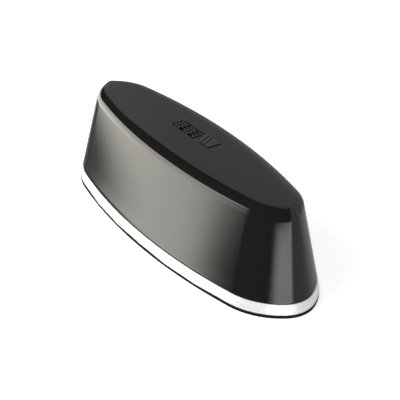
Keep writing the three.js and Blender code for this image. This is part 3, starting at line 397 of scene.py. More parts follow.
def threaded(mean, depth, pitch, low, high, fade=0.8):
    """A ripple that turns a straight run of a profile into a screw thread: the radius follows a
    triangle wave of height / pitch minus angle / turn, and fades out at both ends of the run."""

    def ripple(radius, height, angle):
        wave = depth * triangle_wave(height / pitch - angle / TURN)
        strength = np.clip((height - low) / fade, 0, 1) * np.clip((high - height) / fade, 0, 1)
        on_run = np.abs(radius - mean) < TOUCH
        return np.where(on_run, radius + wave * strength, radius), height

    return ripple


def pole_insert_shell():
    """The brass insert: a threaded bore with a blind end, a body, and a flange that holds it down."""
    foot, seat, ledge, top = 1.4, 15.1, 16.7, 18.5
    bore, body, rim, countersink = 7.3, 11.0, 13.0, 0.9
    depth, pitch, start = 0.55, 2.309, foot + countersink
    run = [(bore, z) for z in np.linspace(ledge, start, 84)]
    outside = [run[-1], (bore + countersink, foot), (body, foot), (body, seat), (rim, seat)]
    outside += [(rim, ledge), (body, ledge), (body, top), (0, top)]
    profile = [(0, ledge), *run, *rounded(outside, 0.3)]
    return lathe(profile, columns=96, ripple=threaded(bore, depth, pitch, start, ledge))


def cover_screw_shell(x, y):
    """A socket-head screw: the socket's radius is a hexagon's, the shank carries the thread."""
    face, seat, tip = 2.05, 4.2, 16.2
    socket, shank, head, point = 1.3, 1.42, 2.72, 0.9
    socket_tip, socket_end, chamfer_end = face + 1.35, face + 1.25, face + 0.12
    depth, pitch, start, stop = 0.16, 0.5, seat + 1.2, tip - 0.5
    knurls, knurl, sink, knurl_low, knurl_high = 24, 0.03, 0.02, face + 0.3, seat - 0.2
    run = [(shank, z) for z in np.linspace(start, stop, 84)]
    profile = [(0, socket_tip), (socket, socket_end), (socket, chamfer_end), (socket + 0.14, face)]
    profile += rounded([(2.0, face), (head, face), (head, seat), (1.55, seat), (1.5, seat + 1.1)], 0.22)
    profile += [*run, (point, tip), (0, tip)]
    thread = threaded(shank, depth, pitch, start, stop, fade=0.4)

    def ripple(radius, height, angle):
        sector = np.mod(angle, TURN / 6) - TURN / 12
        in_socket = (radius > 0) & (radius < socket + TOUCH) & (height < (socket_tip + socket_end) / 2)
        hexagon = radius * math.cos(TURN / 12) / np.cos(sector)
        radius, height = thread(np.where(in_socket, hexagon, radius), height, angle)
        on_head = (radius > head - TOUCH) & (height > knurl_low) & (height < knurl_high)
        return np.where(on_head, radius + knurl * np.cos(knurls * angle) - sink, radius), height

    return lathe(profile, (x, y), 48, ripple)


def power_key_shell():
    """The key's cap with a dished face, its sealing groove, collar and stem."""
    face, groove_low, groove_high, collar_low, collar_high, top = 0.7, 2.75, 3.65, 4.8, 5.8, 8.4
    flat, groove, cap, collar, stem, edge = 4.0, 4.0, 4.6, 5.6, 1.8, 0.2
    depth, steps = 0.25, 6
    dish = [(flat * k / steps, face + depth * (1 - (k / steps) ** 2)) for k in range(steps + 1)]
    side = [dish[-1], (cap, face), (cap, groove_low), (groove, groove_low), (groove, groove_high)]
    side += [(cap, groove_high)]
    rest = [side[-1], (cap, collar_low), (collar, collar_low), (collar, collar_high)]
    rest += [(stem, collar_high), (stem, top), (0, top)]
    return lathe([*dish[:-1], *rounded(side, edge), *rounded(rest, edge)[1:]], (0, -PORT_Y), 72)


def power_icon_shells():
    """The general power sign on the key: an open circle with a bar in its gap, facing down."""
    low, high, half, edge = 0.98, 0.62, 0.2, 0.08
    radius, bar_foot, bar_tip = 1.9, 0.9, 2.6
    arc = stroke(circle_path(radius, math.radians(134), math.radians(406), 40), half, low, high, edge)
    bar = stroke([(0, bar_foot), (0, bar_tip)], half, low, high, edge)
    return [(points + [0, -PORT_Y, 0], faces) for points, faces in (arc, bar)]


def return_spring_shell():
    """The key's spring: a round wire whose middle is at (R cos a, R sin a) and climbs evenly with the
    angle a, apart from half a flat turn at each end. A circle goes round it, and both ends are closed."""
    low, high = (corner[2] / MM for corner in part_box("key_spring"))
    turn = np.linspace(0, SPRING_TURNS, 120)
    around = np.column_stack([np.cos(TURN * turn), np.sin(TURN * turn), 0 * turn])
    climb = np.clip((turn - 0.5) / (SPRING_TURNS - 1), 0, 1)
    middle = SPRING_RADIUS * around + [0, -PORT_Y, 0]
    middle[:, 2] = low + SPRING_WIRE + (high - low - 2 * SPRING_WIRE) * climb
    over = np.cross(np.gradient(middle, axis=0), around)
    over /= np.linalg.norm(over, axis=1)[:, None]
    section = np.linspace(0, TURN, 12, endpoint=False)[None, :, None]
    wire = around[:, None] * np.cos(section) + over[:, None] * np.sin(section)
    ends = np.ones(len(turn) + 2)
    ends[[0, -1]] = 0
    rows = np.concatenate([[0], np.arange(len(turn)), [len(turn) - 1]])
    return grid(middle[rows, None] + SPRING_WIRE * ends[:, None, None] * wire[rows])


def status_light_shell(x):
    """A light guide: a low dome that shows below, a collar that seats it, and a shaft up to the board."""
    lens, collar, bulge = 1.3, 1.8, 0.4
    rim, collar_low, collar_high, top = 2.2, 4.8, 5.8, 12.0
    dome = [(lens * math.sin(a), rim - bulge * math.cos(a)) for a in np.linspace(0, math.pi / 2, 7)]
    shaft = [(lens, rim), (lens, collar_low), (collar, collar_low), (collar, collar_high)]
    shaft += [(lens, collar_high), (lens, top), (0, top)]
    return lathe([*dome, *rounded(shaft, 0.12)[1:]], (x, -PORT_Y), 40)


def vent_shell():
    """The vent's cap: eight slots run out from a plain middle, under a rolled rim."""
    face, shelf, barb_low, barb_high, top = 1.8, 2.9, 4.8, 5.0, 5.8
    field, rim_inside, rim, neck, barb = 3.1, 3.2, 3.6, 2.4, 0.4
    floor = face + 0.12
    slots, slot_start, slot_end, slot_depth, steepness = 8, 0.9, 2.8, 0.55, 3
    profile = [(r, floor) for r in np.linspace(0, field, 18)]
    profile += rounded([(field, floor), (rim_inside, face), (rim, face), (rim, shelf), (neck, shelf)], 0.15)
    profile += [(neck, barb_low), (neck + barb, barb_high), (neck, top), (0, top)]

    def ripple(radius, height, angle):
        across = np.clip((np.cos(slots * angle) - 0.1) * steepness, 0, 1)
        inner = np.clip((radius - slot_start) * steepness, 0, 1)
        outer = np.clip((slot_end - radius) * steepness, 0, 1)
        return radius, height + np.where(height < face + 0.2, slot_depth * across * (inner * outer), 0)

    return lathe(profile, VENT_PLACE, 96, ripple)


# -------- shader helpers
def fill_inputs(tree, node, inputs):
    """Each named input is linked to the socket given for it, or set to the constant given."""
    for key, value in inputs.items():
        if isinstance(value, bpy.types.NodeSocket):
            tree.links.new(value, node.inputs[key])
        else:
            node.inputs[key].default_value = value
    return node


def add_node(tree, kind, inputs=None, **settings):
    """A shader node with its settings and its inputs."""
    node = tree.nodes.new("ShaderNode" + kind)
    for key, value in settings.items():
        setattr(node, key, value)
    return fill_inputs(tree, node, inputs or {})


def math_node(tree, operation, *values):
    return add_node(tree, "Math", dict(enumerate(values)), operation=operation).outputs[0]


def product(tree, first, *others):
    """The values multiplied together."""
    for other in others:
        first = math_node(tree, "MULTIPLY", first, other)
    return first


def plus(tree, base, mask, amount):
    """The base value plus that amount of the mask."""
    return math_node(tree, "MULTIPLY_ADD", mask, amount, base)


def vector_sum(tree, first, second):
    return add_node(tree, "VectorMath", {0: first, 1: second}, operation="ADD").outputs["Vector"]


def scaled(tree, vector, by):
    return add_node(tree, "VectorMath", {0: vector, "Scale": by}, operation="SCALE").outputs["Vector"]


def smooth_range(tree, value, low, high, to_low=0.0, to_high=1.0):
    """A smooth step from to_low at low to to_high at high. It falls where low is the higher of them."""
    inputs = {"Value": value, "From Min": low, "From Max": high, "To Min": to_low, "To Max": to_high}
    return add_node(tree, "MapRange", inputs, interpolation_type="SMOOTHSTEP").outputs[0]


def ramp(tree, factor, stops):
    """A ramp with straight stretches between its stops of (position, grey)."""
    node = add_node(tree, "ValToRGB", {"Fac": factor})
    elements = node.color_ramp.elements
    while len(elements) < len(stops):
        elements.new(1.0)
    for element, (position, grey) in zip(elements, stops):
        element.position = position
        element.color = (grey, grey, grey, 1)
    return node.outputs["Color"]


def new_group(name, inputs, outputs):
    """An empty shader node group with its sockets, as (group, input node, output node)."""
    group = bpy.data.node_groups.new(name, "ShaderNodeTree")
    for label, kind, value in inputs:
        socket = group.interface.new_socket(label, in_out="INPUT", socket_type="NodeSocket" + kind)
        if value is not None:
            socket.default_value = value
    for label, kind in outputs:
        group.interface.new_socket(label, in_out="OUTPUT", socket_type="NodeSocket" + kind)
    return group, group.nodes.new("NodeGroupInput"), group.nodes.new("NodeGroupOutput")


def fine_grain_group():
    """Moulded or blasted grain: two sizes of noise as a normal, a light-and-dark mask and a value."""
    inputs = [("Vector", "Vector", None), ("Scale", "Float", 2000.0), ("Strength", "Float", 0.2)]
    outputs = [("Normal", "Vector"), ("Mask", "Float"), ("Fine", "Float")]
    group, given, out = new_group("fine_grain", inputs, outputs)
    vector, scale = given.outputs["Vector"], given.outputs["Scale"]
    noise_inputs = {"Vector": vector, "Scale": scale, "Detail": 3.0, "Roughness": 0.6}
    coarse = add_node(group, "TexNoise", noise_inputs)
    finer_scale = product(group, scale, 3.1)
    fine = add_node(group, "TexVoronoi", {"Vector": vector, "Scale": finer_scale})
    half_fine = product(group, fine.outputs["Distance"], 0.5)
    height = math_node(group, "ADD", coarse.outputs["Fac"], half_fine)
    bump_inputs = {"Height": height, "Strength": given.outputs["Strength"], "Distance": 0.0001}
    normal = add_node(group, "Bump", bump_inputs).outputs["Normal"]
    mask = smooth_range(group, coarse.outputs["Fac"], 0.38, 0.62)
    fill_inputs(group, out, {"Normal": normal, "Mask": mask, "Fine": fine.outputs["Distance"]})
    return group


def handling_group():
    """What handling leaves: broad smudges, a few hairline scratches and scattered dust."""
    inputs = [("Vector", "Vector", None), ("Scale", "Float", 1.0)]
    outputs = [("Smudge", "Float"), ("Scratch", "Float"), ("Dust", "Float")]
    group, given, out = new_group("handling", inputs, outputs)
    vector = scaled(group, given.outputs["Vector"], given.outputs["Scale"])
    broad = add_node(group, "TexNoise", {"Vector": vector, "Scale": 38.0, "Detail": 5.0, "Distortion": 0.8})
    along_and_across = {"Rotation": (0.3, 0.2, 0.9), "Scale": (14.0, 900.0, 240.0)}
    stretch = add_node(group, "Mapping", {"Vector": vector, **along_and_across})
    hair = add_node(group, "TexNoise", {"Vector": stretch.outputs["Vector"], "Scale": 1.0, "Detail": 2.0})
    patch = add_node(group, "TexNoise", {"Vector": vector, "Scale": 90.0})
    hairline = smooth_range(group, hair.outputs["Fac"], 0.70, 0.76)
    lines = product(group, hairline, smooth_range(group, patch.outputs["Fac"], 0.55, 0.7))
    specks = add_node(group, "TexVoronoi", {"Vector": vector, "Scale": 420.0, "Randomness": 1.0})
    chosen = add_node(group, "SeparateColor", {"Color": specks.outputs["Color"]})
    near = smooth_range(group, specks.outputs["Distance"], 0.11, 0.05)
    dot = product(group, near, math_node(group, "GREATER_THAN", chosen.outputs[0], 0.93))
    smudge = smooth_range(group, broad.outputs["Fac"], 0.45, 0.75)
    fill_inputs(group, out, {"Smudge": smudge, "Scratch": lines, "Dust": dot})
    return group


def turned_lines_group():
    """Fine rings left by a lathe about a vertical axis at Centre, as a normal and a mask."""
    inputs = [("Vector", "Vector", None), ("Centre", "Vector", (0.0, 0.0, 0.0)), ("Strength", "Float", 0.15)]
    group, given, out = new_group("turned_lines", inputs, [("Normal", "Vector"), ("Mask", "Float")])
    places = {0: given.outputs["Vector"], 1: given.outputs["Centre"]}
    offset = add_node(group, "VectorMath", places, operation="SUBTRACT")
    parts = add_node(group, "SeparateXYZ", {"Vector": offset.outputs["Vector"]})
    squares = [math_node(group, "POWER", parts.outputs[axis], 2.0) for axis in "XY"]
    radius = math_node(group, "SQRT", math_node(group, "ADD", *squares))
    both = add_node(group, "CombineXYZ", {"X": radius, "Y": parts.outputs["Z"]})
    rings = add_node(group, "TexNoise", {"Vector": both.outputs["Vector"], "Scale": 5200.0, "Detail": 3.0})
    bump_inputs = {"Height": rings.outputs["Fac"], "Strength": given.outputs["Strength"], "Distance": 0.00006}
    normal = add_node(group, "Bump", bump_inputs).outputs["Normal"]
    fill_inputs(group, out, {"Normal": normal, "Mask": smooth_range(group, rings.outputs["Fac"], 0.4, 0.6)})
    return group


FINE_GRAIN = fine_grain_group()
HANDLING = handling_group()
TURNED_LINES = turned_lines_group()


def use_group(tree, group, inputs):
    """The outputs of a group placed in this tree."""
    return add_node(tree, "Group", inputs, node_tree=group).outputs


def mix_colours(tree, factor, first, second):
    """Colour between first and second; each is a socket or a tuple."""
    inputs = {}
    for slot_index, value in ((6, first), (7, second)):
        inputs[slot_index] = value if isinstance(value, bpy.types.NodeSocket) else (*value, 1.0)
    node = add_node(tree, "Mix", {0: factor, **inputs}, data_type="RGBA")
    return node.outputs[2]


def new_material(name, **constants):
    """A material with a Principled shader, as (material, tree, shader, object coordinates)."""
    material = bpy.data.materials.new(name)
    material.use_nodes = True
    tree = material.node_tree
    shader = tree.nodes["Principled BSDF"]
    for key, value in constants.items():
        label = key.replace("_", " ").title().replace("Ior", "IOR")
        shader.inputs[label].default_value = (*value, 1.0) if isinstance(value, tuple) else value
    where = tree.nodes.new("ShaderNodeTexCoord").outputs["Object"]
    return material, tree, shader, where


def connect(tree, shader, **sockets):
    """Links to the shader's inputs, each named in lower case."""
    for key, value in sockets.items():
        tree.links.new(value, shader.inputs[key.replace("_", " ").title()])


def plastic(name, colour, roughness, grain, strength, painted_shade_below=None, **more):
    """Moulded plastic or rubber: grain, a cloudy tone, smudges, dust and hairline scratches. Below a
    given height its faces are painted near black as shade and made glossier; above it they keep their tone
    and roughness."""
    material, tree, shader, where = new_material(name, ior=1.5, **more)
    texture = use_group(tree, FINE_GRAIN, {"Vector": where, "Scale": grain, "Strength": strength})
    marks = use_group(tree, HANDLING, {"Vector": where})
    dark = tuple(c * 0.86 for c in colour)
    tone = mix_colours(tree, texture["Mask"], dark, colour)
    dusty = product(tree, marks["Dust"], 0.05)
    tone = mix_colours(tree, dusty, tone, (0.35, 0.34, 0.32))
    rough = plus(tree, roughness, marks["Smudge"], 0.05)
    rough = plus(tree, rough, marks["Scratch"], 0.12)
    if painted_shade_below is not None:
        # Painted shade: faces below that height are painted near black, so the walls read as shadowed edges
        # beside the tops.
        soft_edge = 0.00012
        height = add_node(tree, "SeparateXYZ", {"Vector": where}).outputs["Z"]
        unshaded_top = smooth_range(tree, height, painted_shade_below - soft_edge, painted_shade_below)
        tone = mix_colours(tree, unshaded_top, (0.0025, 0.0025, 0.0025), tone)
        rough = product(tree, rough, smooth_range(tree, unshaded_top, 0.0, 1.0, 0.25, 1.0))
    connect(tree, shader, base_color=tone, roughness=rough, normal=texture["Normal"])
    return material


def metal(name, colour, roughness, centre=None, strength=0.15, tarnish=0.75, grain=2600.0):
    """Turned metal with rings about centre, or plated sheet with a fine grain, and a dull cast."""
    material, tree, shader, where = new_material(name, metallic=1.0)
    if centre:
        texture = use_group(tree, TURNED_LINES, {"Vector": where, "Centre": centre, "Strength": strength})
    else:
        texture = use_group(tree, FINE_GRAIN, {"Vector": where, "Scale": grain, "Strength": strength})
    marks = use_group(tree, HANDLING, {"Vector": where, "Scale": 2.0})
    tone = mix_colours(tree, marks["Smudge"], colour, tuple(c * tarnish for c in colour))
    rough = plus(tree, roughness, marks["Smudge"], 0.12)
    rough = plus(tree, rough, texture["Mask"], 0.06)
    connect(tree, shader, base_color=tone, roughness=rough, normal=texture["Normal"])
    return material


def blasted_aluminium():
    """Bead-blasted, clear-anodised casting: bright, with small dark and bright facets in its grain."""
    material, tree, shader, where = new_material("blasted_aluminium", metallic=0.34)
    texture = use_group(tree, FINE_GRAIN, {"Vector": where, "Scale": 1500.0, "Strength": 0.6})
    marks = use_group(tree, HANDLING, {"Vector": where})
    facets = smooth_range(tree, texture["Fine"], 0.42, 0.62)
    tone = mix_colours(tree, texture["Mask"], (0.78, 0.782, 0.786), (0.98, 0.978, 0.97))
    tone = mix_colours(tree, product(tree, facets, 0.45), tone, (0.52, 0.525, 0.53))
    rough = plus(tree, 0.26, texture["Mask"], 0.14)
    rough = plus(tree, rough, marks["Smudge"], 0.06)
    connect(tree, shader, base_color=tone, roughness=rough, normal=texture["Normal"])
    return material


def circuit_board(name, mask_colour, track_colour):
    """Solder mask over copper: square-cornered tracks show through it, with tinned pads between them."""
    material, tree, shader, where = new_material(name, ior=1.5)
    cell_inputs = {"Vector": where, "Scale": 260.0, "Randomness": 0.55}
    cells = add_node(tree, "TexVoronoi", cell_inputs, distance="CHEBYCHEV")
    edge_inputs = {"Vector": where, "Scale": 420.0, "Mortar Size": 0.03, "Mortar Smooth": 0.1}
    edges = add_node(tree, "TexBrick", edge_inputs)
    tracks = product(tree, math_node(tree, "GREATER_THAN", edges.outputs["Fac"], 0.5), 0.8)
    pads = math_node(tree, "LESS_THAN", cells.outputs["Distance"], 0.16)
    marks = use_group(tree, HANDLING, {"Vector": where})
    tone = mix_colours(tree, tracks, mask_colour, track_colour)
    tone = mix_colours(tree, pads, tone, (0.62, 0.62, 0.6))
    height = math_node(tree, "ADD", tracks, pads)
    bump = add_node(tree, "Bump", {"Height": height, "Strength": 0.3, "Distance": 0.00005})
    rough = plus(tree, 0.3, marks["Smudge"], 0.15)
    connect(tree, shader, base_color=tone, roughness=rough, metallic=pads, normal=bump.outputs["Normal"])
    return material


def cell_sleeve():
    """Heat-shrunk sleeve: a blue film with a pale band on each cell, and soft shrink ripples."""
    material, tree, shader, where = new_material("cell_sleeve", ior=1.5, coat_weight=0.4)
    parts = add_node(tree, "SeparateXYZ", {"Vector": where})
    along = math_node(tree, "ABSOLUTE", parts.outputs["X"])
    band_start = smooth_range(tree, along, 0.0215, 0.0218)
    band = product(tree, band_start, smooth_range(tree, along, 0.0245, 0.0242))
    ripple = add_node(tree, "TexNoise", {"Vector": where, "Scale": 300.0, "Detail": 2.0})
    bump = add_node(tree, "Bump", {"Height": ripple.outputs["Fac"], "Strength": 0.15, "Distance": 0.0002})
    marks = use_group(tree, HANDLING, {"Vector": where})
    tone = mix_colours(tree, band, (0.03, 0.13, 0.42), (0.75, 0.76, 0.78))
    rough = plus(tree, 0.28, marks["Smudge"], 0.15)
    connect(tree, shader, base_color=tone, roughness=rough, normal=bump.outputs["Normal"])
    return material


def patch_ceramic():
    """Fired ceramic with a silver electrode printed inside its border."""
    material, tree, shader, where = new_material("ceramic", ior=1.6)
    texture = use_group(tree, FINE_GRAIN, {"Vector": where, "Scale": 1800.0, "Strength": 0.25})
    parts = add_node(tree, "SeparateXYZ", {"Vector": where})
    from_middle = [math_node(tree, "ABSOLUTE", parts.outputs[axis]) for axis in "XY"]
    inside = math_node(tree, "LESS_THAN", math_node(tree, "MAXIMUM", *from_middle), 0.0108)
    normal = tree.nodes.new("ShaderNodeNewGeometry").outputs["Normal"]
    upwards = add_node(tree, "SeparateXYZ", {"Vector": normal}).outputs["Z"]
    printed = product(tree, inside, math_node(tree, "GREATER_THAN", upwards, 0.9))
    body = mix_colours(tree, texture["Mask"], (0.62, 0.58, 0.50), (0.70, 0.66, 0.58))
    tone = mix_colours(tree, printed, body, (0.78, 0.77, 0.74))
    rough = plus(tree, 0.42, texture["Mask"], 0.1)
    connect(tree, shader, base_color=tone, roughness=rough, metallic=printed, normal=texture["Normal"])
    return material


# -------- materials
GLOSS_BLACK = plastic("gloss_black_plastic", (0.0088, 0.0088, 0.009), 0.045, 900.0, 0.012)
MARK_TOP = (HEIGHT + MARK_RELIEF) * MM - 0.00001
# The raised mark: its walls are painted near black as shade, and its tops keep the base tone.
RAISED_BLACK = plastic("raised_black_plastic", (0.037, 0.037, 0.0365), 0.4, 2600.0, 0.25,
                       painted_shade_below=MARK_TOP, specular_ior_level=0.12)
ALUMINIUM = blasted_aluminium()
RUBBER = plastic("rubber", (0.006, 0.006, 0.0062), 0.7, 2400.0, 0.4, specular_ior_level=0.12)
MATT_BLACK = plastic("black_plastic", (0.02, 0.02, 0.021), 0.38, 3000.0, 0.3)
NYLON = plastic("nylon", (0.72, 0.70, 0.64), 0.42, 2600.0, 0.2,
                subsurface_weight=0.15, subsurface_scale=0.002)
CLEAR = plastic("clear_plastic", (0.78, 0.83, 0.80), 0.08, 1600.0, 0.03, transmission_weight=0.75)
RED_LEAD = plastic("red_lead", (0.45, 0.02, 0.015), 0.35, 2600.0, 0.15)
WHITE_INK = plastic("white_ink", (0.74, 0.75, 0.75), 0.45, 3200.0, 0.2)
STEEL = metal("steel", (0.60, 0.60, 0.61), 0.24, strength=0.2, grain=4200.0)
BRASS = metal("brass", (0.83, 0.60, 0.27), 0.2, centre=(0.0, 0.0, 0.0), strength=0.2)
NICKEL = metal("nickel", (0.68, 0.66, 0.62), 0.2, centre=(0.0, PORT_Y * MM, 0.0), strength=0.2)
BLACK_CHROME = metal("black_screw_finish", (0.11, 0.11, 0.115), 0.3, strength=0.25, grain=4200.0)
GOLD = metal("gold", (0.95, 0.68, 0.26), 0.18, strength=0.1, grain=5000.0)
TIN = metal("tin", (0.70, 0.70, 0.69), 0.3, strength=0.25, tarnish=0.82, grain=1300.0)
CERAMIC = patch_ceramic()
SLEEVE = cell_sleeve()
GREEN_BOARD = circuit_board("circuit_board", (0.008, 0.075, 0.03), (0.02, 0.14, 0.05))
WHITE_BOARD = circuit_board("antenna_laminate", (0.62, 0.60, 0.52), (0.70, 0.56, 0.30))


# -------- pieces
def housing():
    """The housing and its mark, then the casting with its bright band, a black rubber lip that fills the
    parting gap as a painted shadow line, and the pad.
    """
    shells = [radome_skin(), *radome_boss_shells()]
    piece("radome_shell", shells, GLOSS_BLACK, "radome")
    piece("raised_mark", mark_plates(), RAISED_BLACK)
    band = edge_band(FRAME_FOOT + BAND_SHADOW, BAND_TOP, BAND_DEPTH, BAND_EDGE)
    casting = tucked("base_frame", FRAME_FOOT, BAND_TOP, BAND_SHADOW)
    piece("base_casting", [casting, band], ALUMINIUM, "base_frame", crease=30)
    # Painted shadow: a thin black rubber lip, set back under the housing's mouth, fills the parting gap so
    # that it shows as a dark line.
    low, high = BAND_TOP - LIP_OVERLAP, RADOME_FOOT + LIP_OVERLAP
    lip = edge_band(low, high, LIP_DEPTH, LIP_EDGE, LIP_SETBACK)
    piece("parting_shadow_lip", [lip], RUBBER)
    sole = edge_band(0.0, PAD_TOP, PAD_DEPTH, PAD_EDGE)
    pad = tucked("base_pad", 0.0, PAD_TOP, PAD_TUCK)
    piece("foot_pad", [pad, sole], RUBBER, "base_pad")


def radome_boss_shells():
    """Ten bosses inside the housing that take the cover screws, each with a bore and a domed head."""
    low, high = RADOME_FOOT, 24.0
    bore, wall, bore_end, bore_tip, chamfer = 1.75, 3.4, 17.0, 17.5, 0.3
    profile = [(0, bore_tip), (bore, bore_end), (bore, low + chamfer), (bore + chamfer, low)]
    profile += [(wall - 0.2, low), (wall, low + chamfer)]
    profile += [(wall, high - 4), (wall - 0.6, high - 2), (wall - 1.8, high - 0.5), (0, high)]
    return [lathe(profile, place, 28) for place in COVER_SCREWS]


def turned_parts():
    """The pieces of the underside. The key's spring gets a mesh of its own."""
    piece("pole_thread", [pole_insert_shell()], BRASS, "pole_insert")
    for i, (x, y) in enumerate(COVER_SCREWS):
        node = nearest_screw(x, y)
        piece(f"socket_screw_{i + 1}", [cover_screw_shell(x, y)], BLACK_CHROME, node)
    cap = [power_key_shell()]
    piece("power_key_cap", cap, MATT_BLACK, "power_key", body="power_key")
    piece("power_icon", power_icon_shells(), WHITE_INK, body="power_key")
    spring = piece("return_spring", [return_spring_shell()], STEEL, "key_spring", crease=70)
    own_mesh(spring)
    for i, x in enumerate(LIGHT_X):
        lens = f"status_light_{i + 1}"
        piece(f"light_lens_{i + 1}", [status_light_shell(x)], CLEAR, lens)
    piece("vent_cap", [vent_shell()], MATT_BLACK, "pressure_vent")


def nearest_screw(x, y):
    """The CAD screw that stands at that place."""
    names = [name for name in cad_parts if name.startswith("cover_screw_")]

    def gap(name):
        low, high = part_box(name)
        return math.hypot((low[0] + high[0]) / 2 / MM - x, (low[1] + high[1]) / 2 / MM - y)

    return min(names, key=gap)


def numbered(name, count):
    return [f"{name}_{k + 1}" for k in range(count)]


DRESS = [
    (RUBBER, ["housing_seal", "connector_seal", "key_seal"]),
    (NICKEL, ["connector_shell", "connector_nut"]),
    (MATT_BLACK, ["connector_insulator", "connector_harness", "key_switch", "key_lead", "processor_chip"]),
    (MATT_BLACK, ["motion_sensor", "antenna_coax", *numbered("battery_cradle", 2)]),
    (GOLD, ["connector_contacts"]),
    (NYLON, ["switch_plunger", "battery_header", *numbered("antenna_spacer", 4)]),
    (GREEN_BOARD, ["key_board", "main_board"]),
    (WHITE_BOARD, ["antenna_board"]),
    (SLEEVE, numbered("battery_cell", 2)),
    (RED_LEAD, numbered("battery_lead", 2)),
    (TIN, ["gnss_module_shield", "radio_module_shield", "amplifier_shield"]),
    (STEEL, ["sim_socket", *numbered("board_screw", 4)]),
    (CERAMIC, ["bluetooth_antenna", "lower_patch", "upper_patch"]),
    (BRASS, ["cellular_antenna"]),
]
SOFT_SHADED = ["antenna_coax", "key_lead", "connector_harness", *numbered("battery_lead", 2)]
JOIN_WITHIN = 0.000001
BEVEL_WIDTH = 0.00012


def dress_cad_nodes():
    """The pieces that stay as packed: joined triangles, a small bevel where one fits, and a material."""
    for name, material in [(name, material) for material, names in DRESS for name in names]:
        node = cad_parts[name]
        node.data.materials.clear()
        node.data.materials.append(material)
        node.data.polygons.foreach_set("use_smooth", np.ones(len(node.data.polygons), dtype=bool))
        weld = node.modifiers.new("joined", "WELD")
        weld.merge_threshold = JOIN_WITHIN
        if name not in SOFT_SHADED:
            bevel = node.modifiers.new("edges", "BEVEL")
            bevel.width = BEVEL_WIDTH
            bevel.segments = 2
            bevel.limit_method = "ANGLE"
            bevel.angle_limit = math.radians(38)
            split = node.modifiers.new("creases", "EDGE_SPLIT")
            split.split_angle = math.radians(32)


housing()
turned_parts()
dress_cad_nodes()


# -------- studio
# Each list gives a light's level at azimuths in degrees: 0 lies in front, 90 to the right.
SOFTBOX = [
    (-180, 0.0), (-112, 0.0), (-108, 0.22), (-89, 0.15), (-80, 0.17), (-73.2, 0.3), (-69.3, 0.61),
    (-65.3, 1.2), (-61.3, 1.92), (-57.3, 2.8), (-53.3, 3.52), (-49.2, 4.17), (-45.1, 4.42), (-40.9, 4.56),
    (-36.8, 4.5), (-34.6, 4.2), (-32.6, 3.68), (-30.4, 2.85), (-28.4, 1.95), (-26.2, 1.2), (-24.1, 0.6),
    (-21, 0.18), (-18, 0.0), (180, 0.0),
]
STRIP = [
    (-180, 0.0), (36, 0.0), (39.6, 0.12), (43, 0.6), (46.8, 1.75), (50.4, 2.65), (54, 3.25), (57.6, 3.56),
    (72, 3.55), (81, 3.5), (85, 2.3), (88, 1.0), (91, 0.25), (93, 0.0), (180, 0.0),
]
REAR_WALL = [
    (-180, 0.42), (-150, 0.38), (-136, 0.4), (-131, 0.37), (-127, 0.36), (-124, 0.34), (-121, 0.42),
    (-117, 0.47), (-90, 0.42), (90, 0.5), (180, 0.46),
]
REAR_SOFTBOX = [
    (-180, 0.0), (140, 0.0), (146, 0.2), (152, 0.4), (160, 0.4), (167, 0.15), (172, 0.0), (180, 0.0),
]
PEAK = 5.0  # the highest level that a list may hold
AMBIENT = 0.72  # the even white that shades the object softly
WARM, COOL, DIM = (1.06, 1.02, 0.93), (0.99, 1.0, 1.02), (1.02, 1.01, 0.95)
WALL_AZIMUTH = math.radians(165)
SOFTBOX_MIDDLE = 36.0
SOFTBOX_TURN, SOFTBOX_SLOPE = 56.0, 0.65


def level(tree, azimuth, stops):
    """A light's level at that azimuth, from its list."""
    position = math_node(tree, "MULTIPLY_ADD", azimuth, 1 / 360, 0.5)
    return product(tree, ramp(tree, position, [((a + 180) / 360, v / PEAK) for a, v in stops]), PEAK)


def softbox(tree, azimuth, elevation):
    """The large one in front. It widens upwards about its middle, faster on the left, and its top edge
    slopes down where it turns away at the left."""
    usual = math_node(tree, "MULTIPLY_ADD", azimuth, 0.107, -10.76)
    above = math_node(tree, "SUBTRACT", elevation, usual)
    above = math_node(tree, "MINIMUM", math_node(tree, "MAXIMUM", above, -3.0), 3.0)
    turned = math_node(tree, "ADD", azimuth, SOFTBOX_MIDDLE)
    to_left = math_node(tree, "LESS_THAN", turned, 0.0)
    to_left = product(tree, to_left, math_node(tree, "MAXIMUM", above, 0.0))
    narrow = math_node(tree, "MULTIPLY_ADD", above, -0.1, 1.0)
    narrow = math_node(tree, "MULTIPLY_ADD", to_left, -0.12, narrow)
    spread = math_node(tree, "MULTIPLY_ADD", turned, narrow, -SOFTBOX_MIDDLE)
    slope = math_node(tree, "MULTIPLY_ADD", azimuth, SOFTBOX_SLOPE, SOFTBOX_SLOPE * SOFTBOX_TURN)
    lifted = math_node(tree, "SUBTRACT", elevation, math_node(tree, "MINIMUM", slope, 0.0))
    top = smooth_range(tree, lifted, 34.8, 32.2)
    return product(tree, level(tree, spread, SOFTBOX), top, smooth_range(tree, elevation, -30.0, -26.0))


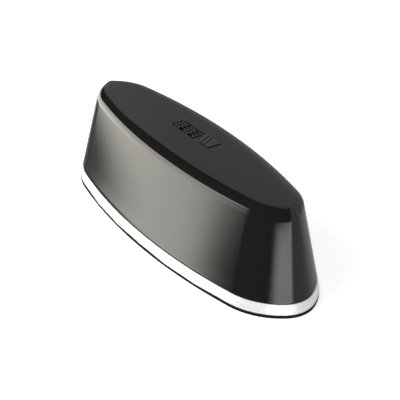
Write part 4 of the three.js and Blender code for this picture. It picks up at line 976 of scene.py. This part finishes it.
def rear_wall(tree, x, y, azimuth, elevation):
    """The dim wall behind, with a panel at its left, a low edge under the panel and a faint glow."""
    behind = product(tree, x, math.sin(WALL_AZIMUTH))
    behind = math_node(tree, "ADD", behind, product(tree, y, -math.cos(WALL_AZIMUTH)))
    wall = product(tree, level(tree, azimuth, REAR_WALL), smooth_range(tree, behind, 0.12, 0.21))
    panel = product(
        tree,
        smooth_range(tree, azimuth, -102.0, -107.0),
        smooth_range(tree, elevation, 35.7, 34.6),
        smooth_range(tree, azimuth, -125.0, -117.0),
        smooth_range(tree, elevation, -24.0, 18.0, 0.3, 0.45),
    )
    edge = product(
        tree,
        smooth_range(tree, azimuth, -95.0, -98.0),
        smooth_range(tree, azimuth, -124.0, -119.0),
        smooth_range(tree, elevation, -19.0, -22.0, 0.0, 0.4),
    )
    low_glow = smooth_range(tree, elevation, -15.0, -22.0, 0.0, 0.07)
    glow = product(tree, smooth_range(tree, azimuth, -139.0, -150.0), low_glow)
    wall = math_node(tree, "MAXIMUM", math_node(tree, "MAXIMUM", wall, panel), edge)
    return math_node(tree, "ADD", wall, glow)


def studio_world():
    """Even white light for the camera and for soft shading. In mirror reflections: a warm softbox in
    front, a narrow cool one to the right, another behind, and a dim wall at the rear."""
    world = bpy.data.worlds.new("studio")
    world.use_nodes = True
    bpy.context.scene.world = world
    tree = world.node_tree
    tree.nodes.clear()
    way = tree.nodes.new("ShaderNodeTexCoord").outputs["Generated"]
    x, y, z = add_node(tree, "SeparateXYZ", {"Vector": way}).outputs
    degrees = math.degrees(1)
    azimuth = product(tree, math_node(tree, "ARCTAN2", x, product(tree, y, -1.0)), degrees)
    elevation = product(tree, math_node(tree, "ARCSINE", z), degrees)
    strip = product(tree, level(tree, azimuth, STRIP), smooth_range(tree, elevation, -7.5, -8.0))
    rear_top, rear_foot = (smooth_range(tree, elevation, *ends) for ends in ((32.0, 22.0), (-8.0, -2.0)))
    rear = product(tree, level(tree, azimuth, REAR_SOFTBOX), product(tree, rear_top, rear_foot))
    warm = scaled(tree, WARM, softbox(tree, azimuth, elevation))
    cool = scaled(tree, COOL, math_node(tree, "ADD", strip, rear))
    dim = scaled(tree, DIM, rear_wall(tree, x, y, azimuth, elevation))
    lights = vector_sum(tree, vector_sum(tree, warm, cool), dim)
    mirrored = add_node(tree, "Background", {"Color": lights, "Strength": 1.0})
    rays = tree.nodes.new("ShaderNodeLightPath").outputs
    soft = math_node(tree, "MULTIPLY_ADD", rays["Is Camera Ray"], 1.0 - AMBIENT, AMBIENT)
    plain = add_node(tree, "Background", {"Color": (1.0, 1.0, 1.0, 1.0), "Strength": soft})
    shaders = {1: plain.outputs[0], 2: mirrored.outputs[0]}
    mixed = add_node(tree, "MixShader", {0: rays["Is Glossy Ray"], **shaders})
    add_node(tree, "OutputWorld", {"Surface": mixed.outputs[0]})


def pale_floor():
    """A near-white floor that is clear from below and stays out of mirror reflections."""
    material = bpy.data.materials.new("pale_floor")
    material.use_nodes = True
    tree = material.node_tree
    tree.nodes.clear()
    white = add_node(tree, "BsdfDiffuse", {"Color": (0.76, 0.76, 0.76, 1.0)})
    glow = add_node(tree, "Emission", {"Color": (1.0, 1.0, 1.0, 1.0), "Strength": 0.5})
    matt = add_node(tree, "AddShader", {0: white.outputs[0], 1: glow.outputs[0]})
    clear = add_node(tree, "BsdfTransparent")
    side = tree.nodes.new("ShaderNodeNewGeometry").outputs["Backfacing"]
    mixed = add_node(tree, "MixShader", {0: side, 1: matt.outputs[0], 2: clear.outputs[0]})
    add_node(tree, "OutputMaterial", {"Surface": mixed.outputs[0]})
    reach, drop = 6.0, -0.00005
    corners = [(-reach, -reach, drop), (reach, -reach, drop), (reach, reach, drop), (-reach, reach, drop)]
    mesh = bpy.data.meshes.new("floor")
    mesh.from_pydata(corners, [], [(0, 1, 2, 3)])
    mesh.materials.append(material)
    floor = placed("floor", mesh)
    floor.visible_glossy = False


def soft_light():
    """A wide soft lamp in front, aimed at the receiver and left out of mirror reflections."""
    data = bpy.data.lights.new("soft_light", "AREA")
    data.shape = "RECTANGLE"
    data.size = 1.2
    data.size_y = 0.9
    data.energy = 24.0
    lamp = placed("soft_light", data)
    lamp.location = (-0.25, -1.15, 0.9)
    aim = Vector((0, 0, 0.02))
    lamp.rotation_euler = (aim - lamp.location).to_track_quat("-Z", "Y").to_euler()
    lamp.visible_glossy = False


def camera():
    """The camera looks down on a shoulder of the receiver, slightly rolled."""
    azimuth, elevation, roll = math.radians(54.85), math.radians(30.71), math.radians(1.2)
    level = math.cos(elevation)
    back = Vector((math.sin(azimuth) * level, -math.cos(azimuth) * level, math.sin(elevation)))
    right = Vector((math.cos(azimuth), math.sin(azimuth), 0))
    up = back.cross(right)
    rolled_right = math.cos(roll) * right + math.sin(roll) * up
    rolled_up = math.cos(roll) * up - math.sin(roll) * right
    data = bpy.data.cameras.new("camera")
    data.lens = 122.69
    data.sensor_width = 36.0
    data.clip_start = 0.01
    data.clip_end = 50
    made = placed("camera", data)
    place = (0.531279, -0.369205, 0.402609)
    rows = [list(row) for row in zip(rolled_right, rolled_up, back, place)]
    made.matrix_world = Matrix([*rows, [0, 0, 0, 1]])
    bpy.context.scene.camera = made


studio_world()
pale_floor()
soft_light()
camera()
bpy.context.scene.view_settings.view_transform = "Standard"
